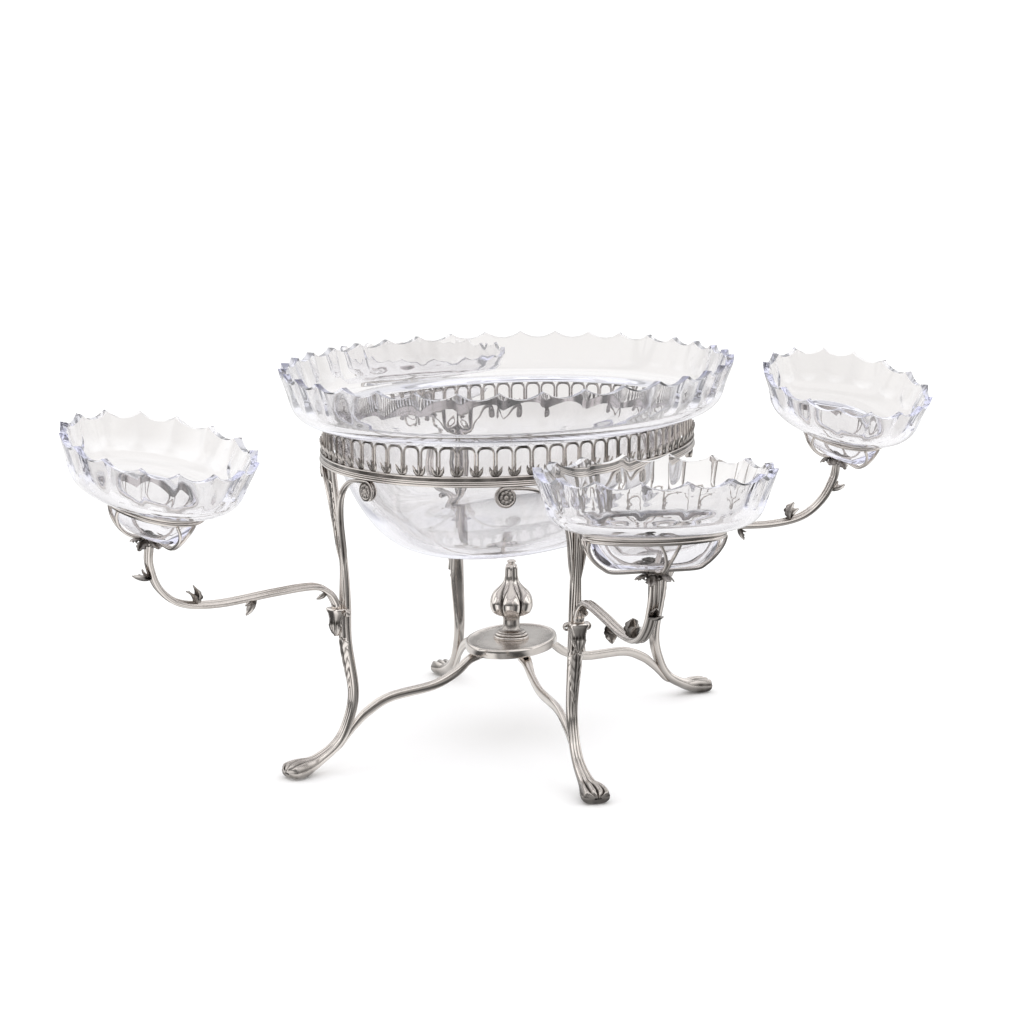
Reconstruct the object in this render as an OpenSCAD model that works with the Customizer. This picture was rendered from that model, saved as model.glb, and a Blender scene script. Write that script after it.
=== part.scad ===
// Oval silver epergne: a pierced gallery on four cabriole legs carries a large cut-glass bowl,
// and four detachable branches carry small cut-glass dishes. Millimetres, +Z up,
// origin on the table under the middle, +X along the long axis of the oval.

/* [Gallery] */
// Half length of the gallery's oval
band_a = 150; // [142:1:158]
// Half width of the gallery's oval
band_b = 100; // [94:1:106]
// Height of the gallery's underside
band_z = 168; // [162:1:176]
// Height of the reeded moulding under the strip
moulding_h = 2.2; // [1.6:0.1:3]
// Depth of the moulding from inside to outside
moulding_t = 5; // [4.4:0.1:6]
// Height of the plain strip above the moulding
strip_h = 3.2; // [2.4:0.1:4.5]
// Depth of the strip from inside to outside
strip_t = 4; // [3.6:0.1:4.6]
// Number of arches in the arcade
hoop_count = 80; // [72:4:88]
// Height of an arch
hoop_h = 15.6; // [13:0.1:18]
// Thickness of the arch wire
hoop_wire = 1.2; // [0.9:0.1:1.4]
// Height of the rounded head of an arch
hoop_rise = 3.6; // [2.5:0.1:4]
// Height of an arcade leaf
leaf_h = 5.8; // [4.5:0.1:7]
// Width of an arcade leaf
leaf_w = 7.6; // [6:0.1:8]
// Thickness of an arcade leaf
leaf_t = 0.8; // [0.5:0.1:1]

/* [Legs] */
// Angle of the corner planes from the long axis
corner_angle = 33; // [30:1:36]
// How far the knee stands in from the leg top
knee_in = 8; // [7:0.5:10]
// Height of the top of the straight knee
knee_top_z = 94; // [90:1:98]
// Height of the foot of the straight knee
knee_foot_z = 72; // [68:1:74]
// How far the waist stands in from the leg top
waist_in = 13; // [11:0.5:15]
// Height of the waist
waist_z = 43; // [40:1:48]
// How far the toes reach out from the leg top
toe_out = 32; // [28:1:36]
// Half width of the leg at the knee
knee_half_w = 4.2; // [3.6:0.1:5]
// Half depth of the leg at the knee
knee_half_d = 2.6; // [2.2:0.1:3]
// Half width of the slim upper leg
shaft_half_w = 3.3; // [3:0.1:3.8]
// Half depth of the upper leg
shaft_half_d = 2.1; // [1.8:0.1:2.4]
// Half width of the leg top under the moulding
top_half_w = 4.6; // [4:0.1:5.2]
// Half width of the paw
paw_half_w = 7.6; // [6:0.1:9]
// Height of the paw
paw_h = 10; // [8.5:0.1:12]

/* [Scroll brackets] */
// Reach of the bracket along the gallery, from the leg to the eye of its volute
bracket_reach = 45; // [40:1:52]
// Height below the gallery at which a bracket leaves the leg
bracket_drop = 56; // [50:1:60]
// Thickness of the bracket strap
bracket_t = 1.5; // [1.2:0.1:1.8]
// Width of the bracket strap, from inside to outside
bracket_w = 4; // [3:0.1:5]
// Radius of the rosette in the eye of the volute
rosette_r = 4; // [3:0.1:4.6]
// Thickness of the rosette
rosette_t = 4.6; // [3.5:0.1:6]

/* [Stretchers and plate] */
// Half length of the stretcher plate
plate_a = 37; // [34:0.5:42]
// Half width of the stretcher plate
plate_b = 23.5; // [21:0.5:27]
// Height of the top of the plate
plate_z = 56.5; // [52:0.5:60]
// Thickness of the plate
plate_t = 4; // [3:0.1:5]
// Width of the rim round the plate
plate_rim_w = 1.6; // [1:0.1:2.5]
// How far the rim stands above and below the plate
plate_rim_lip = 0.6; // [0.3:0.1:1]
// Half height of a stretcher strap
stretcher_half_h = 2.7; // [2:0.1:3]
// Half width of a stretcher strap
stretcher_half_w = 1.9; // [1.5:0.1:2.6]
// Height of the middle of a stretcher
stretcher_z = 36; // [33:0.5:39]

/* [Finial] */
// Height of the turned foot
finial_foot_h = 13; // [11:0.5:15]
// Radius of the turned foot
finial_foot_r = 10.3; // [9:0.1:12]
// Height of the lobed bud
bud_h = 33; // [29:0.5:35]
// Largest radius of the bud
bud_r = 13; // [11:0.1:14]
// Number of lobes round the bud
bud_lobes = 6; // [5:1:8]
// Radius of the stud
stud_r = 1.5; // [1.2:0.1:2]
// Width of the nut across its flats
nut_w = 8; // [7:0.5:10]
// Height of the nut
nut_h = 3; // [2.5:0.1:4]

/* [Branches] */
// Length of the tongue that goes down into the socket
tongue_l = 10; // [8:0.5:12]
// Half width of the tongue
tongue_half_w = 2.8; // [2.4:0.1:3.2]
// Half thickness of the tongue
tongue_half_t = 1.5; // [1.2:0.1:1.7]
// Wall of the socket
socket_wall = 1.6; // [1.3:0.1:2.2]
// Distance from the socket to the stem under the dish
branch_reach = 118; // [112:1:124]
// Height of the branch's crest
crest_z = 104.5; // [102:0.5:108]
// Height of the low part of the branch
low_z = 99.5; // [96:0.5:102]
// Half width of the branch strap
branch_half_w = 3.3; // [2.8:0.1:4]
// Half thickness of the branch strap
branch_half_t = 1.75; // [1.6:0.05:1.9]
// Height of the underside of the hub on the stem
hub_z = 138.5; // [134:0.5:143]
// Height of the hub
hub_h = 3.6; // [3:0.1:4.5]
// Radius of the hub
hub_r = 4.4; // [3.8:0.1:5]
// Turn of each branch about its socket: front left, front right, back left, back right
branch_swing = [0, 14, 4, -2]; // [-16:1:16]
// Sideways lean of each branch about its own run, in the same order
branch_lean = [0, 14, -10, 0]; // [-16:1:16]
// Rise of each branch from level, in the same order
branch_rise = [0, 3, 2, 4]; // [-4:1:4]
// Length of a branch leaf
branch_leaf_l = 13; // [10:0.5:15]
// Length of a calyx leaf
calyx_leaf_l = 9; // [7:0.5:10]

/* [Dish rings and claws] */
// Half length of the dish ring, across the branch
ring_p = 35; // [33:0.5:38]
// Half width of the dish ring, along the branch
ring_q = 22.5; // [21:0.5:25]
// Height of the dish ring
ring_h = 4; // [3:0.1:5]
// Depth of the dish ring from inside to outside
ring_t = 2.6; // [2:0.1:3]
// Thickness of a claw prong
prong_t = 1.8; // [1.4:0.1:2]
// Width of a claw prong
prong_w = 1.5; // [1.2:0.1:1.8]
// How far the two prongs of a claw part at the ring
prong_spread = 4.2; // [3:0.1:5]

/* [Glass] */
// How far the rim of the large bowl stands out over the gallery
bowl_overhang = 25; // [22:0.5:28]
// Height of the flared wall of the large bowl, from shoulder to tips
bowl_wall_h = 22; // [20:0.5:26]
// How far the wall of the large bowl leans out from shoulder to tips
bowl_flare = 7; // [4:0.5:9]
// Depth of the large bowl below the gallery's underside
bowl_depth = 48; // [44:0.5:54]
// Number of scallops round the large bowl
bowl_scallops = 36; // [32:4:44]
// How far a dish rim stands out over its ring
dish_overhang = 26; // [23:0.5:27]
// Height of the flared wall of a dish, from shoulder to tips
dish_wall_h = 22.5; // [20:0.5:26]
// How far the wall of a dish leans out from shoulder to tips
dish_flare = 7.5; // [4:0.5:9]
// Depth of a dish below the underside of its ring
dish_depth = 14; // [12:0.5:16]
// Number of scallops round a dish
dish_scallops = 16; // [12:4:20]
// Thickness of the glass
glass_t = 4.6; // [4:0.1:5.2]
// Depth of a scallop below the tips beside it
notch_depth = 3.4; // [2:0.1:4.5]
// Depth of a flute cut into the outside of a wall
flute_depth = 1.1; // [0.6:0.1:1.4]

/* [Clearances] */
// Solder film between soldered pieces
solder = 0.1; // [0.05:0.05:0.2]
// Room between a glass and the silver that it rests on or hangs in
seat_gap = 0.3; // [0.25:0.05:0.5]
// Room round a glass where it passes through its ring or gallery
neck_gap = 0.8; // [0.5:0.1:1.2]
// Room round a tongue in its socket and round the stud in its bores
fit_gap = 0.3; // [0.2:0.05:0.4]

/* [Hidden] */
$fn = 48;
silver = [0.78, 0.77, 0.75];
dark_silver = [0.62, 0.61, 0.59];
glass = [0.88, 0.9, 0.96, 0.45];
corners = [["front_left", -1, -1, 0], ["front_right", 1, -1, 1],
    ["back_left", -1, 1, 2], ["back_right", 1, 1, 3]];
corner_pieces = ["leg", "branch_socket", "scroll_brackets", "rosettes", "stretcher",
    "branch", "branch_leaves", "calyx", "dish_claws", "dish_ring", "dish"];

// Oval: a point, its outward normal and arc length by degree, with the oval's half axes a and b
arc_step = 2;
function oval(a, b, t) = [a * cos(t), b * sin(t)];
function oval_normal(a, b, t) = let (n = [b * cos(t), a * sin(t)]) n / norm(n);
function oval_edge(a, b, off, t) = oval(a, b, t) + off * oval_normal(a, b, t);
function oval_arc(a, b) = [for (t = 0, s = 0; t <= 360;
    s = s + norm(oval(a, b, t + arc_step) - oval(a, b, t)), t = t + arc_step) [s, t]];
function oval_length(a, b) = let (arc = oval_arc(a, b)) arc[len(arc) - 1][0];
function oval_reach(a, b, phi) = 1 / norm([cos(phi) / a, sin(phi) / b]);

// Leg top on the gallery: its place on the oval, and the turn from the corner plane to the oval's normal
top_r = oval_reach(band_a, band_b, corner_angle);
top_t = atan2(band_a * sin(corner_angle), band_b * cos(corner_angle));
top_n = oval_normal(band_a, band_b, top_t);
top_turn = atan2(top_n[1], top_n[0]) - corner_angle;

// Levels and radii worked out from the sizes above
strip_z = band_z + moulding_h + solder;
arcade_z = strip_z + strip_h + solder;
seat_z = arcade_z + hoop_h + seat_gap;
knee_r = top_r - knee_in;
socket_half_w = tongue_half_w + fit_gap + socket_wall;
socket_half_d = tongue_half_t + fit_gap + socket_wall;
socket_top_z = knee_top_z - 3;
socket_floor = 2;
socket_h = tongue_l + fit_gap + socket_floor;
hub_top_z = hub_z + hub_h;
dish_floor_gap = 1;
ring_z = hub_top_z + dish_floor_gap + dish_depth;
dish_seat_z = ring_z + ring_h + seat_gap;
plate_low_z = plate_z - plate_t;
plate_reach = oval_reach(plate_a, plate_b, corner_angle);
bud_z = plate_z + solder + finial_foot_h + solder;

// Smooth curve through control points of any length, with n steps between neighbours
function curve_point(p0, p1, p2, p3, u) = 0.5 * (2 * p1 + (p2 - p0) * u
    + (2 * p0 - 5 * p1 + 4 * p2 - p3) * u * u + (3 * p1 - p0 - 3 * p2 + p3) * u * u * u);
function smooth(p, n) = let (m = len(p) - 1) concat(
    [for (i = [0 : m - 1]) for (k = [0 : n - 1])
        curve_point(p[max(i - 1, 0)], p[i], p[i + 1], p[min(i + 2, m)], k / n)],
    [p[m]]);

// Rounded section of n sides; a squareness under 1 fills its corners
function power(x, e) = sign(x) * pow(abs(x), e);
function section(n, e) = [for (j = [0 : n - 1]) let (q = (j + 0.5) * 360 / n)
    [power(cos(q), e), power(sin(q), e)]];

// Rings along a path in the corner plane. A path point is [r, y, z, half width, half depth, turn].
function heading(path, i) = let (m = len(path) - 1, d = path[min(i + 1, m)] - path[max(i - 1, 0)],
    h = [d[0], d[2]]) h / norm(h);
function ring_at(p, h, shape, low, high) = let (
    w = [0, 1, 0] * cos(p[5]) - [-h[1], 0, h[0]] * sin(p[5]),
    n = [-h[1], 0, h[0]] * cos(p[5]) + [0, 1, 0] * sin(p[5]))
    [for (s = shape) let (q = [p[0], p[1], p[2]] + w * p[3] * s[0] + n * p[4] * s[1])
        [q[0], q[1], min(max(q[2], low), high)]];
function rings_along(path, shape, low = 0, high = bowl_rim_z) =
    [for (i = [0 : len(path) - 1]) ring_at(path[i], heading(path, i), shape, low, high)];

// Closed skin over rings of equal length, with flat ends; several skins in one solid list
function side_faces(m, n, base) = [for (i = [0 : m - 2]) for (j = [0 : n - 1]) for (half = [0, 1])
    let (k = (j + 1) % n, low = i * n + base, up = low + n)
    half == 0 ? [low + j, up + k, low + k] : [low + j, up + j, up + k]];
function end_faces(m, n, base) = [
    [for (j = [0 : n - 1]) base + j],
    [for (j = [n - 1 : -1 : 0]) base + (m - 1) * n + j]];
module skin(rings) {
    skins([rings]);
}
module skins(list) {
    m = len(list[0]);
    n = len(list[0][0]);
    polyhedron(
        [for (rings = list) for (r = rings) for (p = r) p],
        [for (b = [0 : len(list) - 1]) let (base = b * m * n)
            for (f = concat(side_faces(m, n, base), end_faces(m, n, base))) f]);
}

// Places a piece drawn in the plane of the back right corner at any corner
module at_corner(c) {
    mirror([c[1] < 0 ? 1 : 0, 0, 0])
        mirror([0, c[2] < 0 ? 1 : 0, 0])
            rotate([0, 0, corner_angle])
                children();
}

// Flat oval ring between two offsets of an oval
module oval_ring(a, b, inner, outer, h, steps) {
    linear_extrude(height = h)
        difference() {
            polygon([for (i = [0 : steps - 1]) oval_edge(a, b, outer, i * 360 / steps)]);
            polygon([for (i = [0 : steps - 1]) oval_edge(a, b, inner, i * 360 / steps)]);
        }
}

// Gallery
band_steps = 96;
module gallery_strip() {
    color(silver)
        translate([0, 0, strip_z])
            oval_ring(band_a, band_b, -strip_t / 2, strip_t / 2, strip_h, band_steps);
}

module reeded_moulding() {
    color(silver)
        translate([0, 0, band_z])
            oval_ring(band_a, band_b, -moulding_t / 2, moulding_t / 2, moulding_h, band_steps);
}

hoop_gap = 0.25;
hoop_pitch = oval_length(band_a, band_b) / hoop_count;
hoop_bulge = hoop_pitch * hoop_pitch / 8 * band_a / (band_b * band_b);
band_arc = oval_arc(band_a, band_b);
module round_gallery(i) {
    t = lookup(i * hoop_pitch, band_arc);
    p = oval(band_a, band_b, t);
    n = oval_normal(band_a, band_b, t);
    translate([p[0], p[1], arcade_z])
        rotate([0, 0, atan2(n[1], n[0])])
            rotate([90, 0, 90])
                children();
}

// Inverted U of one arch, from its left foot over the head and back along the inside
arch_steps = 5;
function arch(half, top, rise) = [for (k = [0 : arch_steps]) let (q = 180 - k * 180 / arch_steps)
    [half * cos(q), top - rise + rise * sin(q)]];
module hoop_outline() {
    half = (hoop_pitch - hoop_gap) / 2;
    outer = arch(half, hoop_h, hoop_rise + hoop_wire);
    inner = arch(half - hoop_wire, hoop_h - hoop_wire, hoop_rise);
    polygon(concat([[-half, 0]], outer, [[half, 0], [half - hoop_wire, 0]],
        [for (k = [arch_steps : -1 : 0]) inner[k]], [[hoop_wire - half, 0]]));
}

module arcade_hoops() {
    color(silver)
        for (i = [0 : hoop_count - 1])
            round_gallery(i)
                translate([0, 0, -hoop_wire / 2])
                    linear_extrude(height = hoop_wire)
                        hoop_outline();
}

// Palmette of three lobes on a narrow foot
module palmette() {
    w = leaf_w / 2;
    h = leaf_h;
    polygon([[-0.14 * w, 0], [0.14 * w, 0], [0.8 * w, 0.36 * h], [w, 0.92 * h], [0.34 * w, 0.6 * h],
        [0, h], [-0.34 * w, 0.6 * h], [-w, 0.92 * h], [-0.8 * w, 0.36 * h]]);
}

module arcade_leaves() {
    color(dark_silver)
        for (i = [0 : hoop_count - 1])
            round_gallery(i + 0.5)
                translate([0, 0, hoop_wire / 2 + hoop_bulge + solder])
                    linear_extrude(height = leaf_t)
                        palmette();
}

// Leg: path from the gallery down the shaft, knee and waist to the toes
leg_sides = 10;
leg_flare_in = 3.6;
leg_flare_drop = 27;
shaft_z = (knee_top_z + band_z - leg_flare_drop) / 2;
leg_path = smooth([
    [top_r, 0, band_z - solder, top_half_w, shaft_half_d, top_turn],
    [top_r - leg_flare_in, 0, band_z - leg_flare_drop, shaft_half_w + 0.5, shaft_half_d, top_turn],
    [knee_r + 0.8, 0, shaft_z, shaft_half_w, shaft_half_d, top_turn],
    [knee_r, 0, knee_top_z, shaft_half_w + 0.3, knee_half_d, 0],
    [knee_r, 0, knee_foot_z, knee_half_w, knee_half_d, 0],
    [top_r - waist_in, 0, waist_z, shaft_half_w, knee_half_d, 0],
    [top_r - waist_in + 4, 0, waist_z * 0.6, shaft_half_w - 0.2, knee_half_d, 0],
    [top_r - 1, 0, paw_h + 4.5, shaft_half_w, knee_half_d, 0],
    [top_r + toe_out * 0.4, 0, paw_h * 0.72, shaft_half_w + 1.2, 3.2, 0],
    [top_r + toe_out * 0.72, 0, paw_h * 0.44, paw_half_w * 0.92, paw_h * 0.56, 0],
    [top_r + toe_out * 0.92, 0, paw_h * 0.42, paw_half_w, paw_h * 0.54, 0],
    [top_r + toe_out, 0, paw_h * 0.4, paw_half_w * 0.72, paw_h * 0.3, 0]], 2);
module leg(c) {
    color(silver)
        at_corner(c)
            difference() {
                skin(rings_along(leg_path, section(leg_sides, 0.8), -paw_h, band_z - solder));
                translate([top_r, -2 * paw_half_w, -2 * paw_h])
                    cube([2 * toe_out, 4 * paw_half_w, 2 * paw_h]);
            }
}

// Socket on the outer face of the knee, clear of the fullest part of the knee beside it
knee_face_r = max([for (p = leg_path) if (abs(p[2] - socket_top_z) < 2 * socket_h) p[0] + p[4]]) + solder;
root_r = knee_face_r + socket_half_d;
stem_r = root_r + branch_reach;
module branch_socket(c) {
    lip = 0.8;
    color(silver)
        at_corner(c)
            translate([root_r, 0, socket_top_z - socket_h])
                difference() {
                    translate([-socket_half_d, -socket_half_w, 0])
                        cube([2 * socket_half_d, 2 * socket_half_w, socket_h]);
                    translate([-tongue_half_t - fit_gap, -tongue_half_w - fit_gap, socket_floor])
                        cube([2 * (tongue_half_t + fit_gap), 2 * (tongue_half_w + fit_gap), socket_h]);
                    translate([0, 0, -lip])
                        for (side = [-1, 1])
                            translate([0, side * (socket_half_w + lip), 0])
                                rotate([0, 90, 0])
                                    cylinder(r = 2 * lip, h = 3 * socket_half_d, center = true, $fn = 8);
                }
}

// Scroll bracket: along the gallery by arc length s, inset with the leg at height z
volute_r = rosette_r + solder + bracket_t / 2;
volute_z = band_z - solder - bracket_t / 2 - volute_r;
volute_turns = 300;
bracket_side = shaft_half_w + solder + bracket_t / 2;
bracket_line = smooth([
    [bracket_side, band_z - bracket_drop],
    [bracket_side + 0.5, band_z - bracket_drop + 12],
    [bracket_side + 2, band_z - bracket_drop * 0.54],
    [bracket_side + 6, band_z - bracket_drop * 0.33],
    [bracket_reach * 0.38, band_z - bracket_drop * 0.17],
    [bracket_reach * 0.66, band_z - solder - bracket_t / 2 - 1.6],
    [bracket_reach, band_z - solder - bracket_t / 2]], 2);
volute_line = [for (q = [30 : 30 : volute_turns])
    [bracket_reach + volute_r * sin(q), volute_z + volute_r * cos(q)]];
bracket_path = concat(bracket_line, volute_line);
leg_inset = [for (i = [6 : -1 : 0]) [leg_path[i][2], top_r - leg_path[i][0]]];
top_s = lookup(top_t, [for (row = band_arc) [row[1], row[0]]]);
function on_bracket(side, s, z) = let (
    t = lookup(top_s + side * s, band_arc),
    inset = lookup(z, leg_inset) * max(0, 1 - s / bracket_reach),
    p = oval(band_a, band_b, t) - inset * [cos(corner_angle), sin(corner_angle)]) [p[0], p[1], z];
function bracket_normal(side, s) = let (n = oval_normal(band_a, band_b, lookup(top_s + side * s, band_arc)))
    [n[0], n[1], 0];
function bracket_ring(side, i) = let (
    m = len(bracket_path) - 1,
    d = bracket_path[min(i + 1, m)] - bracket_path[max(i - 1, 0)],
    e = bracket_t / 2 * [-d[1], d[0]] / norm(d),
    q = bracket_path[i],
    n = bracket_w / 2 * bracket_normal(side, q[0]),
    up = on_bracket(side, q[0] + e[0], q[1] + e[1]),
    down = on_bracket(side, q[0] - e[0], q[1] - e[1]))
    side > 0 ? [up + n, down + n, down - n, up - n] : [up - n, down - n, down + n, up + n];
module scroll_brackets(c) {
    color(silver)
        at_corner(c)
            rotate([0, 0, -corner_angle])
                skins([for (side = [-1, 1]) [for (i = [0 : len(bracket_path) - 1]) bracket_ring(side, i)]]);
}

// Rosette with eight petals, in the eye of a volute
petals = 8;
module rosettes(c) {
    color(dark_silver)
        at_corner(c)
            rotate([0, 0, -corner_angle])
                for (side = [-1, 1]) {
                    p = on_bracket(side, bracket_reach, volute_z);
                    n = bracket_normal(side, bracket_reach);
                    translate(p)
                        rotate([0, 0, atan2(n[1], n[0])])
                            rotate([90, 0, 90])
                                translate([0, 0, -rosette_t / 2])
                                    linear_extrude(height = rosette_t)
                                        polygon([for (q = [0 : 7.5 : 352.5]) (rosette_r - solder)
                                            * (0.92 + 0.08 * cos(petals * q)) * [cos(q), sin(q)]]);
                }
}

// Stretcher: tapers along the back of the lower leg, then rises inwards to the plate
function leg_back(i, half) = let (p = leg_path[i], h = heading(leg_path, i), d = p[4] + solder + half)
    [p[0] + h[1] * d, p[2] - h[0] * d];
stretcher_tail = 14;
function tail_point(i, half) = let (b = leg_back(i, half)) [b[0], 0, b[1], stretcher_half_w * 0.8, half, 0];
stretcher_end_z = plate_low_z - plate_rim_lip - solder - stretcher_half_h * 0.8;
stretcher_path = smooth([
    tail_point(stretcher_tail, 0.5),
    tail_point(stretcher_tail - 1, 1.2),
    tail_point(stretcher_tail - 2, 2.1),
    [top_r - waist_in - 10, 0, stretcher_z - 6.5, stretcher_half_w, stretcher_half_h, 0],
    [top_r - waist_in - 26, 0, stretcher_z - 0.8, stretcher_half_w, stretcher_half_h, 0],
    [plate_reach + 28, 0, stretcher_z + 1, stretcher_half_w, stretcher_half_h, 0],
    [plate_reach + 11, 0, stretcher_z + 6, stretcher_half_w, stretcher_half_h, 0],
    [plate_reach + 2, 0, stretcher_end_z - 2, stretcher_half_w * 1.5, stretcher_half_h * 0.8, 0],
    [plate_reach - 5, 0, stretcher_end_z, stretcher_half_w * 2, stretcher_half_h * 0.8, 0],
    [plate_reach - 9, 0, stretcher_end_z, stretcher_half_w * 1.6, stretcher_half_h * 0.6, 0]], 2);
module stretcher(c) {
    color(silver)
        at_corner(c)
            skin(rings_along(stretcher_path, section(8, 0.6)));
}

// Stretcher plate and finial
plate_steps = 60;
bore_r = stud_r + fit_gap / 2;
module stretcher_plate() {
    color(silver)
        translate([0, 0, plate_low_z])
            difference() {
                linear_extrude(height = plate_t)
                    polygon([for (i = [0 : plate_steps - 1]) oval(plate_a, plate_b, i * 360 / plate_steps)]);
                translate([0, 0, -1])
                    cylinder(r = bore_r, h = plate_t + 2);
            }
}

module plate_rim() {
    color(silver)
        translate([0, 0, plate_low_z - plate_rim_lip])
            oval_ring(plate_a, plate_b, solder, solder + plate_rim_w,
                plate_t + 2 * plate_rim_lip, plate_steps);
}

module finial_foot() {
    r = finial_foot_r;
    h = finial_foot_h;
    color(silver)
        translate([0, 0, plate_z + solder])
            rotate_extrude()
                polygon([[bore_r, 0], [r, 0], [r, 0.14 * h], [0.86 * r, 0.18 * h], [0.86 * r, 0.28 * h],
                    [0.6 * r, 0.36 * h], [0.42 * r, 0.56 * h], [0.4 * r, 0.74 * h], [0.54 * r, 0.9 * h],
                    [0.6 * r, h], [bore_r, h]]);
}

// Bud: rows of radius and height as shares of its size, with lobes that fade out at the neck and the foot
bud_columns = 4;
bud_depth = 12;
bud_rows = [[0.4, 0, 0], [0.72, 0.04, 0.5], [0.93, 0.1, 1], [1, 0.19, 1], [0.95, 0.3, 1], [0.8, 0.42, 0.9],
    [0.57, 0.54, 0.7], [0.4, 0.65, 0.5], [0.34, 0.78, 0.35], [0.26, 0.88, 0.2], [0.17, 0.92, 0],
    [0.19, 0.96, 0], [0.1, 1, 0]];
module finial_bud() {
    n = bud_lobes * bud_columns;
    color(silver)
        translate([0, 0, bud_z])
            difference() {
                skin([for (row = bud_rows) [for (j = [0 : n - 1]) let (
                    lobe = abs(sin(180 * j / bud_columns)),
                    r = bud_r * row[0] * (1 - 0.16 * row[2] * (1 - lobe)))
                    [r * cos(j * 360 / n), r * sin(j * 360 / n), bud_h * row[1]]]]);
                translate([0, 0, -1])
                    cylinder(r = bore_r, h = bud_depth + 1);
            }
}

stud_tail = 2.5;
module finial_stud() {
    low = plate_low_z - solder - nut_h - stud_tail;
    color(dark_silver)
        translate([0, 0, low])
            cylinder(r = stud_r, h = bud_z + bud_depth - fit_gap - low);
}

module finial_nut() {
    color(dark_silver)
        translate([0, 0, plate_low_z - solder - nut_h])
            difference() {
                cylinder(d = nut_w / cos(30), h = nut_h, $fn = 6);
                translate([0, 0, -1])
                    cylinder(r = bore_r, h = nut_h + 2);
            }
}

// Bend of a branch by hand: it leans about its own run, rises, and swings about its root.
// The share is 0 in the socket and 1 beyond the crest.
lean_z = (crest_z + low_z) / 2;
bend_start = 5;
bend_steps = 6;
function bend_share(i) = min(1, max(0, (i - bend_start) / bend_steps));
function bend_angles(c) = [-branch_lean[c[3]], -branch_rise[c[3]], branch_swing[c[3]]];
function bent(p, angles) = let (
    x = p[0] - root_r,
    y = p[1] * cos(angles[0]) - (p[2] - lean_z) * sin(angles[0]),
    z = p[1] * sin(angles[0]) + (p[2] - lean_z) * cos(angles[0]),
    u = x * cos(angles[1]) + z * sin(angles[1]))
    [root_r + u * cos(angles[2]) - y * sin(angles[2]), u * sin(angles[2]) + y * cos(angles[2]),
        lean_z - x * sin(angles[1]) + z * cos(angles[1])];
function bent_rings(rings, c, share) = [for (r = rings) [for (p = r) bent(p, bend_angles(c) * share)]];
module at_branch(c) {
    at_corner(c)
        translate([root_r, 0, lean_z])
            rotate(bend_angles(c))
                translate([-root_r, 0, -lean_z])
                    children();
}

// Branch: up out of its socket, over the crest, along and up the stem to the hub
branch_path = smooth([
    [root_r, 0, socket_top_z - tongue_l, tongue_half_w, tongue_half_t, 0],
    [root_r, 0, socket_top_z - tongue_l / 2, tongue_half_w, tongue_half_t, 0],
    [root_r, 0, socket_top_z, tongue_half_w, tongue_half_t, 0],
    [root_r + 0.6, 0, socket_top_z + 4, branch_half_w, branch_half_t, 0],
    [root_r + 5, 0, crest_z - 4, branch_half_w, branch_half_t, 0],
    [root_r + 15, 0, crest_z, branch_half_w, branch_half_t, 0],
    [root_r + branch_reach * 0.34, 0, (crest_z + low_z) / 2 + 1, branch_half_w, branch_half_t, 0],
    [root_r + branch_reach * 0.62, 0, low_z + 0.3, branch_half_w, branch_half_t, 0],
    [stem_r - 22, 0, low_z + 2.5, branch_half_w, branch_half_t, 0],
    [stem_r - 8, 0, low_z + 12, branch_half_w, branch_half_t, 0],
    [stem_r - 1, 0, (low_z + hub_z) / 2 + 6, branch_half_w, branch_half_t, 0],
    [stem_r, 0, hub_z - 4, branch_half_w, branch_half_t, 0],
    [stem_r, 0, hub_z - solder, branch_half_w, branch_half_t, 0]], 2);
module branch(c) {
    rings = rings_along(branch_path, section(8, 0.6));
    color(silver)
        at_corner(c)
            skin([for (i = [0 : len(rings) - 1]) bent_rings([rings[i]], c, bend_share(i))[0]]);
}

// Blade leaf from the branch's surface at path step i; over is 1 above the strap and -1 below it
leaf_gap = solder + 0.1;
function leaf_rings(i, over, along, l) = let (
    h = heading(branch_path, i),
    n = over * [-h[1], h[0]],
    foot = [branch_path[i][0], branch_path[i][2]] + n * (branch_half_t + leaf_gap + 0.4),
    path = [for (k = [0 : 4]) let (
        u = k / 4,
        q = foot + n * l * 0.75 * u + along * h * l * (0.25 * u + 0.5 * u * u))
        [q[0], 0, q[1], l * [0.09, 0.2, 0.24, 0.17, 0.03][k], l * [0.06, 0.05, 0.04, 0.035, 0.02][k], 0]])
    rings_along(path, section(4, 1));
branch_leaf_list = [[8, -1, 1, 0.5], [13, -1, 1, 1], [15, 1, 1, 0.9], [19, -1, 1, 1]];
module branch_leaves(c) {
    color(dark_silver)
        at_corner(c)
            skins([for (leaf = branch_leaf_list)
                bent_rings(leaf_rings(leaf[0], leaf[1], leaf[2], branch_leaf_l * leaf[3]), c,
                    bend_share(leaf[0]))]);
}

// Hub on the stem with leaves that droop round it
calyx_leaves = 6;
function calyx_leaf(q) = let (
    path = [for (k = [0 : 4]) let (u = k / 4) [hub_r + solder + 0.3 + calyx_leaf_l * 0.75 * u, 0,
        hub_z + 0.9 - calyx_leaf_l * 0.5 * u * u, calyx_leaf_l * [0.16, 0.24, 0.26, 0.18, 0.03][k],
        calyx_leaf_l * [0.06, 0.05, 0.05, 0.04, 0.02][k], 0]])
    [for (r = rings_along(path, section(4, 1))) [for (p = r)
        [stem_r + p[0] * cos(q) - p[1] * sin(q), p[0] * sin(q) + p[1] * cos(q), p[2]]]];
module calyx(c) {
    color(dark_silver)
        at_branch(c) {
            translate([stem_r, 0, hub_z])
                cylinder(r = hub_r, h = hub_h);
            skins([for (k = [0 : calyx_leaves - 1]) calyx_leaf((k + 0.5) * 360 / calyx_leaves)]);
        }
}

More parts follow.
